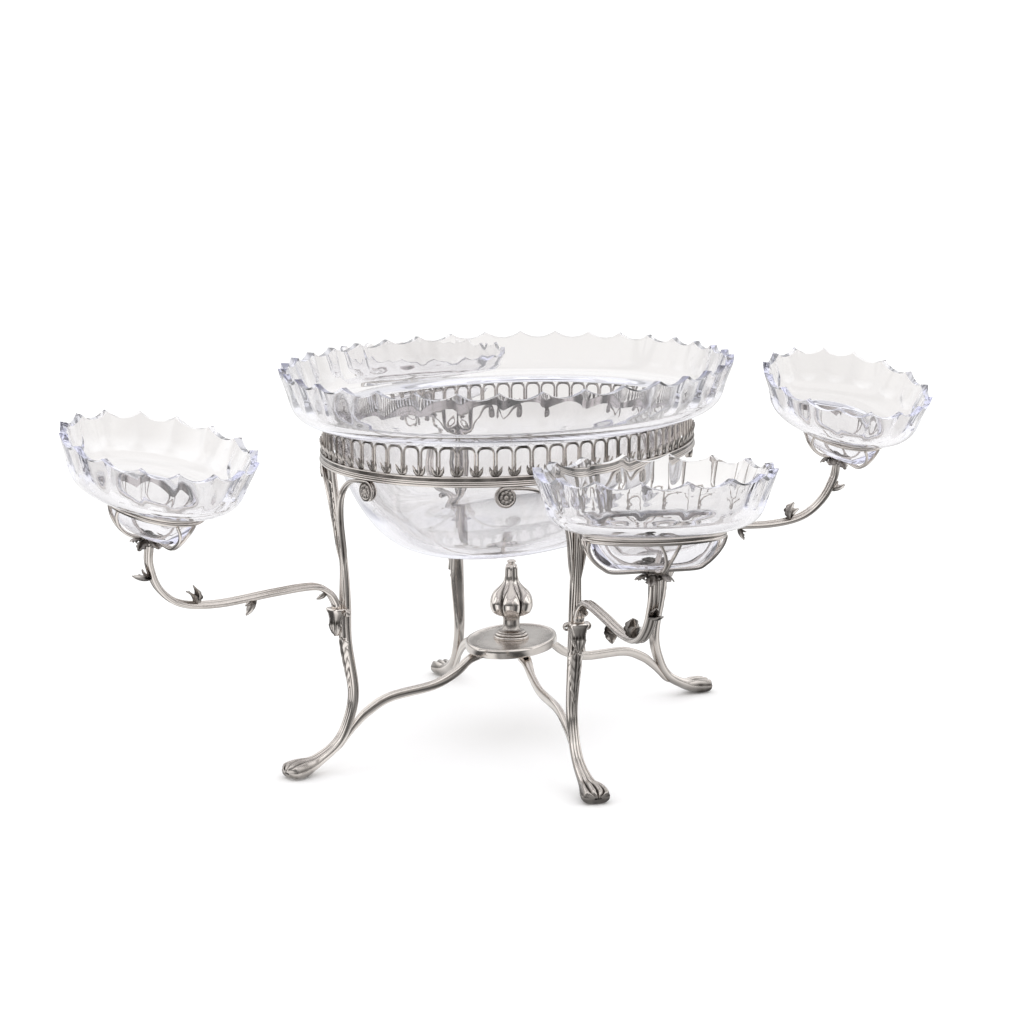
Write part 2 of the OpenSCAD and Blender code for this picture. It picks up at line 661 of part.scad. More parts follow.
// Claw: two prongs side by side from the hub, parting under the ring; reach is the ring's half axis
prong_side = prong_w / 2 + solder;
function prong(side, reach, q) = let (
    level = hub_top_z - prong_t / 2 - 0.1,
    start = hub_r + solder + prong_w / 2,
    path = [for (p = [
        [start, side * prong_side, level],
        [reach - 14, side * prong_side, level + 0.1],
        [reach - 8.5, side * prong_side, level + 2.3],
        [reach - 3.4, side * (prong_side + 0.4), level + 6.8],
        [reach - 0.5, side * (prong_side + prong_spread * 0.45), (level + ring_z) / 2 + 4],
        [reach, side * (prong_side + prong_spread), ring_z - solder]])
        concat(p, [prong_w / 2, prong_t / 2, 0])])
    [for (r = rings_along(path, section(4, 0.5), 0, ring_z - solder)) [for (p = r)
        [stem_r + p[0] * cos(q) - p[1] * sin(q), p[0] * sin(q) + p[1] * cos(q), p[2]]]];
module dish_claws(c) {
    color(silver)
        at_branch(c)
            skins([for (k = [0 : 3]) for (side = [-1, 1]) prong(side, k % 2 == 0 ? ring_q : ring_p, k * 90)]);
}

ring_steps = 48;
module dish_ring(c) {
    color(silver)
        at_branch(c)
            translate([stem_r, 0, ring_z])
                oval_ring(ring_q, ring_p, -ring_t / 2, ring_t / 2, ring_h, ring_steps);
}

// Glass: rings of a scalloped bowl. A row is [offset from the oval, height, share of flute, share of notch].
scallop_columns = 4;
function bowl_rings(a, b, count, rows) = let (n = count * scallop_columns)
    [for (row = rows) [for (j = [0 : n - 1]) let (
        t = j * 360 / n,
        u = (j % scallop_columns) / scallop_columns,
        dip = 4 * u * (1 - u),
        off = row[0] - flute_depth * row[2] * dip)
        [(a + off) * cos(t), (b + off) * sin(t), row[1] - notch_depth * row[3] * dip]]];

bowl_low_z = band_z - bowl_depth;
bowl_wall_z = seat_z + 8;
bowl_rim_z = bowl_wall_z + bowl_wall_h;
bowl_neck = max(strip_t, moulding_t) / 2 + neck_gap;
bowl_rows = [
    [-bowl_neck - 54, bowl_low_z, 0, 0],
    [-bowl_neck - 33, bowl_low_z + 5, 0, 0],
    [-bowl_neck - 5, band_z, 0, 0],
    [-bowl_neck, seat_z, 0, 0],
    [moulding_t, seat_z, 0, 0],
    [bowl_overhang - bowl_flare - 6, seat_z + 2.8, 0, 0],
    [bowl_overhang - bowl_flare, bowl_wall_z, 0, 0],
    [bowl_overhang, bowl_rim_z, 1, 1],
    [bowl_overhang - glass_t, bowl_rim_z, 0, 1],
    [bowl_overhang - bowl_flare - glass_t, bowl_wall_z + 2, 0, 0],
    [bowl_overhang - bowl_flare - glass_t - 8, seat_z + glass_t, 0, 0],
    [-bowl_neck - glass_t * 0.8, seat_z + glass_t - 1, 0, 0],
    [-bowl_neck - glass_t - 22, bowl_low_z + 24, 0, 0],
    [-bowl_neck - glass_t - 44, bowl_low_z + glass_t + 2, 0, 0]];
module centre_bowl() {
    color(glass)
        skin(bowl_rings(band_a, band_b, bowl_scallops, bowl_rows));
}

dish_low_z = ring_z - dish_depth;
dish_wall_z = dish_seat_z + 7.5;
dish_rim_z = dish_wall_z + dish_wall_h;
dish_neck = ring_t / 2 + neck_gap;
dish_rows = [
    [-dish_neck - 15, dish_low_z, 0, 0],
    [-dish_neck - 7.5, dish_low_z + 3, 0, 0],
    [-dish_neck - 2, dish_low_z + 10, 0, 0],
    [-dish_neck, dish_seat_z, 0, 0],
    [ring_t / 2 + 1, dish_seat_z, 0, 0],
    [dish_overhang - dish_flare - 5, dish_seat_z + 3.2, 0, 0],
    [dish_overhang - dish_flare, dish_wall_z, 0, 0],
    [dish_overhang, dish_rim_z, 1, 1],
    [dish_overhang - glass_t, dish_rim_z, 0, 1],
    [dish_overhang - dish_flare - glass_t, dish_wall_z + 2, 0, 0],
    [dish_overhang - dish_flare - glass_t - 8, dish_seat_z + glass_t, 0, 0],
    [-dish_neck - glass_t * 0.7, dish_seat_z + glass_t * 0.5, 0, 0],
    [-dish_neck - glass_t - 7, dish_low_z + glass_t, 0, 0]];
module dish(c) {
    color(glass)
        at_branch(c)
            translate([stem_r, 0, 0])
                skin(bowl_rings(ring_q, ring_p, dish_scallops, dish_rows));
}

gallery_strip();
reeded_moulding();
arcade_hoops();
arcade_leaves();
stretcher_plate();
plate_rim();
finial_foot();
finial_bud();
finial_stud();
finial_nut();
centre_bowl();
for (c = corners) {
    leg(c);
    branch_socket(c);
    scroll_brackets(c);
    rosettes(c);
    stretcher(c);
    branch(c);
    branch_leaves(c);
    calyx(c);
    dish_claws(c);
    dish_ring(c);
    dish(c);
}
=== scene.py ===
"""Looks and studio stage of an oval silver epergne with cut-glass bowl and dishes.

Lengths in the shape functions are millimetres in the part's own frame; meshes are in metres.
"""

import math

import bpy
import numpy as np
from bpy.props import FloatProperty, FloatVectorProperty, IntProperty, PointerProperty
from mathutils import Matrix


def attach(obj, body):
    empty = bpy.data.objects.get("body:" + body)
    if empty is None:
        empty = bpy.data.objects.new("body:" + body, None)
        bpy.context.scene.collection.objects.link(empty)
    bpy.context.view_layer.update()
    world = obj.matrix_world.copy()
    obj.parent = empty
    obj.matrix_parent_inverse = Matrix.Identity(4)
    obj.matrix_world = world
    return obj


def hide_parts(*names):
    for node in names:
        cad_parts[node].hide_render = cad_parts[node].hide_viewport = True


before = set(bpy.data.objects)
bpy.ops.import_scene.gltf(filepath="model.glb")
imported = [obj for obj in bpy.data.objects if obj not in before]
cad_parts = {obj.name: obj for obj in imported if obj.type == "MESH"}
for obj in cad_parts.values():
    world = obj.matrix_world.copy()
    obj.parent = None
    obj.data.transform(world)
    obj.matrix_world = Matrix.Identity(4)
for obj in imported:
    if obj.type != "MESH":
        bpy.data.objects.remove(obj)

bl_info = {
    "name": "Epergne",
    "version": (1, 0, 0),
    "blender": (4, 5, 0),
    "location": "3D View > Sidebar > Epergne",
    "description": "Builds the visual model of an oval silver epergne and its studio stage",
    "category": "Object",
}

MM = 0.001
CORNERS = {"front_left": (-1, -1), "front_right": (1, -1), "back_left": (-1, 1), "back_right": (1, 1)}

# Oval of the gallery and the corner planes
BAND_A, BAND_B = 150.0, 100.0
BAND_Z, STRIP_Z, ARCADE_Z = 168.0, 170.3, 173.6
PHI = math.radians(33)
TOP_R = 1 / math.hypot(math.cos(PHI) / BAND_A, math.sin(PHI) / BAND_B)
TOP_T = math.atan2(BAND_A * math.sin(PHI), BAND_B * math.cos(PHI))
TOP_TURN = math.atan2(BAND_A * math.sin(TOP_T), BAND_B * math.cos(TOP_T)) - PHI
HOOPS = 80

# Radii and levels of the knee, branch, hub, dish ring, plate and bud
KNEE_R = TOP_R - 8
ROOT_R, STEM_R = 126.6, 244.6
HUB_Z, HUB_H, HUB_R = 138.5, 3.6, 4.4
RING_Z, RING_Q, RING_P = 157.1, 22.5, 35.0
PLATE_A, PLATE_B, PLATE_Z = 37.0, 23.5, 56.5
BUD_Z, BUD_H, BUD_R, BUD_LOBES = 69.7, 33.0, 13.3, 6

# Lean, rise and swing of each branch in degrees, and the height of the line that it leans about
BENDS = {"front_left": (0, 0, 0), "front_right": (14, 3, 14), "back_left": (-10, 2, 4), "back_right": (0, 4, -2)}
BEND_Z, BEND_START, BEND_STEPS = 102.0, 5, 6

# Bearing of the side that faces the camera, which the bud and the lights are turned to
FRONT = math.radians(196.5)
ACROSS = np.array([0.0, 1.0, 0.0])
UPRIGHT = np.array([0.0, 0.0, 1.0])


def spline(rows, steps):
    """Smooth curve through control rows: a cubic in each gap, its slope at a row half the chord beside it."""
    p = np.asarray(rows, float)
    ends = np.concatenate([p[:1], p, p[-1:]])
    u = (np.arange(steps) / steps)[None, :, None]
    p0, p1, p2, p3 = (ends[i:len(ends) - 3 + i, None] for i in range(4))
    cubic = 2 * p1 + (p2 - p0) * u + (2 * p0 - 5 * p1 + 4 * p2 - p3) * u**2 + (3 * p1 - p0 - 3 * p2 + p3) * u**3
    return np.concatenate([0.5 * cubic.reshape(-1, p.shape[1]), p[-1:]])


def smoothstep(x, low, high):
    """Share from 0 at low to 1 at high with level ends."""
    t = np.clip((np.asarray(x, float) - low) / (high - low), 0, 1)
    return t * t * (3 - 2 * t)


def unit(v):
    """Vectors along the last axis scaled to length one."""
    return v / np.maximum(np.linalg.norm(v, axis=-1, keepdims=True), 1e-9)


def section(n, power):
    """Rounded section of n points: x runs from 1 to -1 over the front and back again, |x|^power + |y|^power = 1."""
    t = np.linspace(0, 1, n // 2, endpoint=False)
    x = 0.5 * (1 - 2 * t) + 0.5 * np.cos(np.pi * t)
    y = (1 - np.abs(x) ** power) ** (1 / power)
    return np.concatenate([np.stack([x, y], 1), np.stack([-x, -y], 1)])


def reeds(sec, count, front_only):
    """Grooves between rounded reeds across a section: one less the size of a sine of the place across the face."""
    groove = 1 - np.abs(np.sin(np.pi * count * (sec[:, 0] + 1) / 2))
    face = np.clip(sec[:, 1] * 2.5, 0, 1) if front_only else np.clip(np.abs(sec[:, 1]) * 2.5, 0, 1)
    return groove * face


def sweep(path, side, up, half_side, half_up, sec, groove=None):
    """A section carried along a path: path point plus side and up vectors times the half sizes of the section."""
    y = half_up[..., None] * sec[:, 1]
    if groove is not None:
        y = y - np.sign(sec[:, 1]) * groove
    across = half_side[..., None] * sec[:, 0]
    return path[..., None, :] + side[..., None, :] * across[..., None] + up[..., None, :] * y[..., None]


def plane_frame(r, z):
    """Unit heading and front normal of a path in a corner plane, as arrays of (r, y, z)."""
    h = unit(np.stack([np.gradient(r), np.gradient(z)], -1))
    zero = np.zeros_like(r)
    return np.stack([h[:, 0], zero, h[:, 1]], -1), np.stack([-h[:, 1], zero, h[:, 0]], -1)


def leaf_columns(columns):
    """Place across a leaf, from -1 to 1 over its front and back again over its back."""
    v = np.linspace(-1, 1, columns // 2)
    return np.concatenate([v, v[::-1]])


def leaf(spine, side, up, half, thick, cup, columns):
    """Leaf of two faces over a spine: side times the half width times v, up times the cup times v squared."""
    v = leaf_columns(columns)
    face = np.repeat([1.0, -1.0], columns // 2)
    vein = 0.35 * np.exp(-((v / 0.16) ** 2))
    lift = cup[..., None] * v**2 + thick[..., None] * (face * (0.5 * np.sqrt(1.02 - v**2)) - (face > 0) * vein)
    wide = half[..., None] * v
    return spine[..., None, :] + side[..., None, :] * wide[..., None] + up[..., None, :] * lift[..., None]


def leaf_patina(rows, columns):
    """Patina of a leaf: darkest along the vein and at the foot."""
    v = leaf_columns(columns)
    u = np.linspace(0, 1, rows)[:, None]
    return np.clip(0.9 * np.exp(-((v / 0.24) ** 2)) + 0.8 * (1 - u) ** 2 + 0.4 * v**6, 0, 1)


def lathe(rows, columns):
    """Surface of revolution: radius and height by row, turned round the upright axis."""
    rows = np.asarray(rows, float)
    q = np.arange(columns) * 2 * np.pi / columns
    return np.stack([rows[:, :1] * np.cos(q), rows[:, :1] * np.sin(q), rows[:, 1:2] * np.ones(columns)], -1)


def oval_table(a, b):
    """Angle parameter of an oval by arc length, as matched arrays of length and angle."""
    t = np.linspace(0, 2 * np.pi, 7201)
    step = np.hypot(np.diff(a * np.cos(t)), np.diff(b * np.sin(t)))
    return np.concatenate([[0], np.cumsum(step)]), t


def oval_normal(a, b, t):
    """Outward unit normal of an oval at its angle parameter."""
    return unit(np.stack([b * np.cos(t), a * np.sin(t)], -1))


def oval_offset(a, b, t, off):
    """Point of an oval moved out along its normal."""
    return np.stack([a * np.cos(t), b * np.sin(t)], -1) + np.asarray(off)[..., None] * oval_normal(a, b, t)


def moulding(a, b, profile, steps):
    """Closed profile of offset and height carried round an oval."""
    profile = np.asarray(profile, float)
    t = (np.arange(steps) * 2 * np.pi / steps)[:, None] * np.ones(len(profile))
    xy = oval_offset(a, b, t, profile[:, 0] * np.ones_like(t))
    return np.concatenate([xy, (profile[:, 1] * np.ones_like(t))[..., None]], -1)


def to_corner(points, corner):
    """Points of the corner plane, as radius, side and height, turned to the plane and mirrored to a corner."""
    sx, sy = CORNERS[corner]
    x = points[..., 0] * math.cos(PHI) - points[..., 1] * math.sin(PHI)
    y = points[..., 0] * math.sin(PHI) + points[..., 1] * math.cos(PHI)
    return np.stack([sx * x, sy * y, points[..., 2]], -1)


def bend(points, corner, share=1.0):
    """Branch bent by hand: a share of its lean about its own run, its rise, and its swing about its root."""
    lean, rise, swing = (math.radians(angle) * share for angle in BENDS[corner])
    x, y, z = points[..., 0] - ROOT_R, points[..., 1], points[..., 2] - BEND_Z
    y, z = y * np.cos(lean) + z * np.sin(lean), z * np.cos(lean) - y * np.sin(lean)
    x, z = x * np.cos(rise) - z * np.sin(rise), x * np.sin(rise) + z * np.cos(rise)
    x, y = x * np.cos(swing) - y * np.sin(swing), x * np.sin(swing) + y * np.cos(swing)
    return np.stack([x + ROOT_R, y, z + BEND_Z], -1)


def bend_share(step):
    """Share of the bend at a step of the branch: none in the socket and all of it beyond the crest."""
    return np.clip((np.asarray(step, float) - BEND_START) / BEND_STEPS, 0, 1)


def grid_faces(m, n, ring):
    """Corner indices of the quads of a grid that closes round its columns, and round its rows for a ring."""
    i = np.arange(m if ring else m - 1)[:, None]
    j = np.arange(n)[None]
    low, high, k = i * n, (i + 1) % m * n, (j + 1) % n
    return np.stack([low + j, low + k, high + k, high + j], -1).reshape(-1, 4)


def volume(points, quads, caps):
    """Signed volume of a closed grid: the sum of corner triple products over its triangles."""
    p = points.reshape(-1, 3) - points.reshape(-1, 3).mean(0)
    tris = [quads[:, [0, 1, 2]], quads[:, [0, 2, 3]]]
    tris += [np.stack([np.full(len(c) - 2, c[0]), c[1:-1], c[2:]], 1) for c in caps]
    a, b, c = (p[np.concatenate(tris)[:, i]] for i in range(3))
    return np.einsum("ij,ij->i", a, np.cross(b, c)).sum()


def make_mesh(name, shells, sharp):
    """Mesh of closed shells, each copies by rows by columns by 3, with flat end caps unless it is a ring."""
    points, corners, sizes, patina_and_shade, base = [], [], [], [], 0
    for grid, ring, dark in shells:
        grid = np.asarray(grid, float)
        grid = grid[None] if grid.ndim == 3 else grid
        k, m, n, _ = grid.shape
        quads = grid_faces(m, n, ring)
        caps = np.zeros((0, n), int) if ring else np.stack([np.arange(n)[::-1], (m - 1) * n + np.arange(n)])
        if volume(grid[0], quads, caps) < 0:
            quads, caps = quads[:, ::-1], caps[:, ::-1]
        shift = base + np.arange(k)[:, None, None] * m * n
        corners += [(quads + shift).ravel(), (caps + shift).ravel()]
        sizes += [np.full(k * len(quads), 4), np.full(k * len(caps), n)]
        points.append(grid.reshape(-1, 3))
        patina_and_shade.append(np.broadcast_to(0.0 if dark is None else dark, (k, m, n)).ravel())
        base += k * m * n
    points, corners, sizes = np.concatenate(points) * MM, np.concatenate(corners), np.concatenate(sizes)
    mesh = bpy.data.meshes.new(name)
    mesh.vertices.add(len(points))
    mesh.vertices.foreach_set("co", points.astype(np.float32).ravel())
    mesh.loops.add(len(corners))
    mesh.loops.foreach_set("vertex_index", corners.astype(np.int32))
    mesh.polygons.add(len(sizes))
    mesh.polygons.foreach_set("loop_start", (np.cumsum(sizes) - sizes).astype(np.int32))
    mesh.update(calc_edges=True)
    mesh.validate()
    mesh.shade_smooth()
    mesh.set_sharp_from_angle(angle=math.radians(sharp))
    # The attribute holds patina in the hollows and, on some pieces, painted shade.
    mesh.attributes.new("patina_and_shade", "FLOAT", "POINT").data.foreach_set(
        "value", np.concatenate(patina_and_shade).astype(np.float32))
    return mesh


def add_piece(name, body, shells, material, nodes, sharp=42):
    """Object from shells that rides on a body, stands for its solids and takes a slot; edges past sharp stay hard."""
    obj = bpy.data.objects.new(name, make_mesh(name, shells, sharp))
    obj.data.materials.append(material)
    bpy.context.scene.collection.objects.link(obj)
    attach(obj, body)
    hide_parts(*nodes)
    return obj


# Finishes of the silver, the crystal, the floor and the room
# The silver darkens to this tone both where it has patina in its hollows and where shade is painted on it.
PATINA_AND_SHADE_TONE, PATINA_AND_SHADE_DULLNESS, CASTING_DARKNESS = (0.05, 0.042, 0.036, 1.0), 0.3, 0.2
CLEAR_TONE, CLEAR_DEPTH = (0.97, 0.97, 0.98, 1.0), 4.5
FLOOR_TONE, FAR_FLOOR_TONE, FLOOR_GLOW = (0.97, 0.97, 0.97, 1.0), (0.82, 0.81, 0.8, 1.0), (0.06, 0.055, 0.05, 1.0)
ROOM_TONE = (1.06, 1.06, 1.06, 1.0)

# What polished metal mirrors: brightness by bearing round the floor, from the back through the left, the front and
# the right, and by angle over the room, from the front through the top to the back
FLOOR_CARDS = [(0.0, 0.25), (0.06, 0.9), (0.18, 0.9), (0.24, 0.1), (0.31, 0.1), (0.35, 1.1), (0.43, 1.1),
               (0.47, 0.35), (0.51, 0.45), (0.56, 0.3), (0.61, 0.08), (0.67, 0.1), (0.72, 0.85), (0.82, 0.85),
               (0.88, 0.3), (0.93, 0.95), (1.0, 0.25)]
ROOM_CARDS = [(0.0, 0.1), (0.07, 0.12), (0.15, 0.5), (0.21, 1.2), (0.4, 1.2), (0.46, 0.4), (0.54, 0.35), (0.6, 1.1),
              (0.88, 1.1), (0.93, 0.5), (1.0, 0.4)]

# Brightness of the room by height as the glass sees it
ROOM_FADE = [(0.0, 0.9), (0.2, 0.95), (0.42, 1.06), (0.6, 0.86), (0.8, 0.78), (1.0, 0.9)]


def new_material(name):
    """Node material with its tree and output, or the finished one of that name with no tree."""
    found = bpy.data.materials.get(name)
    if found:
        return found, None, None
    material = bpy.data.materials.new(name)
    material.use_nodes = True
    tree = material.node_tree
    tree.nodes.clear()
    return material, tree, tree.nodes.new("ShaderNodeOutputMaterial")


def shader_node(tree, kind, inputs, **options):
    """Outputs of a new shader node with its options, whose inputs each take a value or a link from a socket."""
    node = tree.nodes.new(f"ShaderNode{kind}")
    for key, value in options.items():
        setattr(node, key, value)
    for key, value in inputs.items():
        if isinstance(value, bpy.types.NodeSocket):
            tree.links.new(value, node.inputs[key])
        else:
            node.inputs[key].default_value = value
    return node.outputs


def math_node(tree, operation, *values, clamp=False):
    """Result of a sum on values or sockets."""
    return shader_node(tree, "Math", dict(enumerate(values)), operation=operation, use_clamp=clamp)[0]


def mix_colours(tree, factor, a, b):
    """Colour that runs from a to b as the factor grows."""
    return shader_node(tree, "Mix", {"Factor": factor, "A": a, "B": b}, data_type="RGBA")["Result"]


def grey_ramp(tree, place, stops):
    """Grey read from stops of place and brightness."""
    outputs = shader_node(tree, "ValToRGB", {"Fac": place})
    points = outputs["Color"].node.color_ramp.elements
    points[0].position, points[1].position = stops[0][0], stops[-1][0]
    points[0].color, points[1].color = (*[stops[0][1]] * 3, 1), (*[stops[-1][1]] * 3, 1)
    for spot, value in stops[1:-1]:
        points.new(spot).color = (value, value, value, 1)
    return outputs["Color"]


def silver_material(name, darkness):
    """Polished silver that turns dark and dull where the patina_and_shade attribute is high, which holds patina in
    the hollows and painted shade, with a faint cloudy tarnish.
    """
    look = bpy.context.scene.epergne_silver
    material, tree, out = new_material(name)
    if tree is None:
        return material
    patina_and_shade = shader_node(tree, "Attribute", {}, attribute_name="patina_and_shade")
    coords = shader_node(tree, "TexCoord", {})
    cloud = shader_node(tree, "TexNoise", {"Vector": coords["Object"], "Scale": 90.0, "Detail": 3.0})
    mottle = shader_node(tree, "MapRange", {"Value": cloud["Fac"], "From Min": 0.3, "From Max": 0.7,
                                            "To Min": 0.6, "To Max": 1.1})
    # Darkening from the attribute (patina in the hollows and painted shade), plus the painted shade of the darker
    # copy.
    dark = math_node(tree, "MULTIPLY_ADD", patina_and_shade["Fac"], look.patina_and_shade, darkness, clamp=True)
    dark_share = math_node(tree, "MULTIPLY", dark, mottle["Result"])
    tone = mix_colours(tree, dark_share, (*look.tone, 1.0), PATINA_AND_SHADE_TONE)
    rough = math_node(tree, "MULTIPLY_ADD", dark_share, PATINA_AND_SHADE_DULLNESS, look.roughness)
    metal = shader_node(tree, "BsdfPrincipled", {"Base Color": tone, "Metallic": 1.0, "Roughness": rough})
    tree.links.new(metal[0], out.inputs["Surface"])
    return material


def silvers():
    """Polished silver for the large pieces, and a darker copy for the small castings whose extra darkness is painted
    shade.
    """
    # Painted shade: CASTING_DARKNESS darkens the whole of the leaves, calyxes, palmettes, rosettes, stud and nut.
    return silver_material("polished_silver", 0.0), silver_material("shaded_silver", CASTING_DARKNESS)


def glass_material():
    """Clear crystal: refracting for sight, clear for shadow, diffuse and deep rays, and faintly blue in depth."""
    look = bpy.context.scene.epergne_glass
    material, tree, out = new_material("crystal")
    if tree is None:
        return material
    path = shader_node(tree, "LightPath", {})
    cut_glass = shader_node(tree, "BsdfPrincipled", {"Base Color": (*look.tone, 1.0), "Roughness": 0.0,
                                                     "IOR": look.ior, "Transmission Weight": 1.0})
    clear = shader_node(tree, "BsdfTransparent", {"Color": CLEAR_TONE})
    either = math_node(tree, "MAXIMUM", path["Is Shadow Ray"], path["Is Diffuse Ray"])
    deep = math_node(tree, "GREATER_THAN", path["Ray Depth"], CLEAR_DEPTH)
    straight = math_node(tree, "MAXIMUM", either, deep)
    mix = shader_node(tree, "MixShader", {"Fac": straight, 1: cut_glass[0], 2: clear[0]})
    depth = shader_node(tree, "VolumeAbsorption", {"Color": (*look.tint, 1.0), "Density": look.density})
    tree.links.new(mix[0], out.inputs["Surface"])
    tree.links.new(depth[0], out.inputs["Volume"])
    return material


def turned_axes(tree, vector):
    """X, Y and Z of a direction, turned so that X points away from the front."""
    spin = shader_node(tree, "VectorRotate", {"Vector": vector, "Angle": -FRONT}, rotation_type="Z_AXIS")
    return shader_node(tree, "SeparateXYZ", {0: spin["Vector"]})


def floor_material():
    """White floor with a soft warm shadow: metal sees panels and dark cards by bearing, glass a grey far part."""
    material, tree, out = new_material("floor")
    coords = shader_node(tree, "TexCoord", {})
    path = shader_node(tree, "LightPath", {})
    length = shader_node(tree, "VectorMath", {0: coords["Object"]}, operation="LENGTH")
    far = shader_node(tree, "MapRange", {"Value": length["Value"], "From Min": 0.5, "From Max": 1.2})
    through = math_node(tree, "MULTIPLY", far["Result"], path["Is Transmission Ray"])
    white = shader_node(tree, "BsdfDiffuse", {"Color": mix_colours(tree, through, FLOOR_TONE, FAR_FLOOR_TONE)})
    glow = shader_node(tree, "Emission", {"Color": FLOOR_GLOW})
    lifted = shader_node(tree, "AddShader", {0: white[0], 1: glow[0]})
    axes = turned_axes(tree, coords["Object"])
    angle = math_node(tree, "ARCTAN2", axes["Y"], axes["X"])
    bearing = math_node(tree, "MULTIPLY_ADD", angle, 0.5 / math.pi, 0.5)
    panels = shader_node(tree, "Emission", {"Color": grey_ramp(tree, bearing, FLOOR_CARDS)})
    mirror = math_node(tree, "SUBTRACT", path["Is Glossy Ray"], path["Is Transmission Ray"], clamp=True)
    mix = shader_node(tree, "MixShader", {"Fac": mirror, 1: lifted[0], 2: panels[0]})
    tree.links.new(mix[0], out.inputs["Surface"])
    return material


def room_world(strength):
    """White room to the eye and for light; panels and dark cards by height for metal, and a fade for glass."""
    world = bpy.data.worlds.new("room")
    world.use_nodes = True
    tree = world.node_tree
    tree.nodes.clear()
    coords = shader_node(tree, "TexCoord", {})
    path = shader_node(tree, "LightPath", {})
    axes = turned_axes(tree, coords["Generated"])
    tilt = math_node(tree, "ARCTAN2", axes["Z"], axes["X"])
    metal = grey_ramp(tree, math_node(tree, "MULTIPLY", tilt, 1 / math.pi), ROOM_CARDS)
    clear = grey_ramp(tree, axes["Z"], ROOM_FADE)
    seen = mix_colours(tree, path["Is Glossy Ray"], ROOM_TONE, metal)
    seen = mix_colours(tree, path["Is Transmission Ray"], seen, clear)
    seen = mix_colours(tree, path["Is Camera Ray"], seen, ROOM_TONE)
    back = shader_node(tree, "Background", {"Color": seen, "Strength": strength})
    shader_node(tree, "OutputWorld", {"Surface": back[0]})
    return world


# Shapes of the stand
def band_profile():
    """Reeded moulding: two rounded reeds outside a plain inner face, as offset, height and patina."""
    a = np.linspace(-np.pi / 2, np.pi / 2, 9)
    edge = 0.7 * np.abs(np.sin(a)) ** 6
    low = np.stack([2.0 + 0.55 * np.cos(a), BAND_Z + 0.6 + 0.6 * np.sin(a), edge], 1)
    mid = np.stack([1.7 + 0.55 * np.cos(a), BAND_Z + 1.75 + 0.5 * np.sin(a), edge], 1)
    return np.concatenate([[[-2.4, BAND_Z + 2.2, 0.0], [-2.4, BAND_Z, 0.0]], low, mid])


def strip_profile():
    """Plain strip with a thin bead along its upper and its lower edge, as offset, height and patina."""
    a = np.linspace(-np.pi / 2, np.pi / 2, 7)
    edge = 0.7 * np.abs(np.sin(a)) ** 6
    low = np.stack([1.75 + 0.4 * np.cos(a), STRIP_Z + 0.42 + 0.4 * np.sin(a), edge], 1)
    high = np.stack([1.75 + 0.45 * np.cos(a), STRIP_Z + 2.75 + 0.45 * np.sin(a), edge], 1)
    return np.concatenate([[[-1.9, STRIP_Z + 3.2, 0.0], [-1.9, STRIP_Z, 0.0]], low, high])


def arcade_frames(shift):
    """Foot points, tangents and normals of the arches, evenly spaced by arc length round the gallery."""
    length, angle = oval_table(BAND_A, BAND_B)
    s = (np.arange(HOOPS) + shift) * length[-1] / HOOPS
    t = np.interp(s % length[-1], length, angle)
    n = np.concatenate([oval_normal(BAND_A, BAND_B, t), np.zeros((HOOPS, 1))], 1)
    foot = np.stack([BAND_A * np.cos(t), BAND_B * np.sin(t), np.full(HOOPS, ARCADE_Z)], 1)
    return foot, np.stack([-n[:, 1], n[:, 0], n[:, 2]], 1), n, length[-1] / HOOPS


def arcade_hoops():
    """Arches: a rounded wire swept up a post, over a flattened head and down, the head thicker than the posts."""
    foot, tangent, normal, pitch = arcade_frames(0)
    half, rise, top = pitch / 2 - 0.75, 3.7, 14.9
    q = np.linspace(np.pi, 0, 17)
    power = 0.8
    x = np.concatenate([[-half, -half], half * np.sign(np.cos(q)) * np.abs(np.cos(q)) ** power, [half, half]])
    z = np.concatenate([[0.05, 5], top - rise + rise * np.sin(q) ** power, [5, 0.05]])
    head = np.concatenate([[0, 0], np.sin(q) ** 2, [0, 0]])
    path = foot[:, None] + tangent[:, None] * x[:, None] + UPRIGHT * z[:, None]
    heading = unit(np.gradient(path, axis=1))
    side = np.broadcast_to(normal[:, None], path.shape)
    up = unit(np.cross(side, heading))
    grid = sweep(path, side, up, np.broadcast_to(0.62 + 0.15 * head, path.shape[:2]),
                 np.broadcast_to(0.58 + 0.22 * head, path.shape[:2]), section(8, 2.4))
    # Painted dark reflection: the heads of the arches are darkened, over an even darkening of 0.25.
    return grid, (0.25 + 0.55 * head)[None, :, None] * np.ones(grid.shape[:3])


def arcade_leaves():
    """Palmettes between the arches: a middle leaf in a cup of two side leaves that curve out and up."""
    foot, tangent, normal, _ = arcade_frames(0.5)
    u = np.linspace(0, 1, 6)
    shells = []
    for lean, height, width in ((-1, 0.88, 1.0), (0, 1.0, 0.8), (1, 0.88, 1.0)):
        half = width * np.array([0.45, 1.0, 1.2, 1.1, 0.7, 0.12])
        x = lean * (2.7 * np.sin(0.5 * np.pi * u) + 0.7 * u**3)
        z = 0.2 + 5.9 * height * ((0.3 * u + 0.7 * u**2) if lean else u)
        out = 1.15 + 0.9 * u**2 + (0.0 if lean else 0.25)
        spine = (foot[:, None] + tangent[:, None] * x[:, None] + normal[:, None] * out[:, None]
                 + UPRIGHT * z[:, None])
        heading = unit(np.gradient(spine, axis=1))
        up = np.broadcast_to(normal[:, None], spine.shape)
        side = unit(np.cross(up, heading))
        ones = np.ones(spine.shape[:2])
        shells.append((leaf(spine, side, up, half * ones, 0.7 * ones, -0.35 * ones, 8), False,
                       np.broadcast_to(0.55 * leaf_patina(6, 8), (HOOPS, 6, 8))))
    return shells


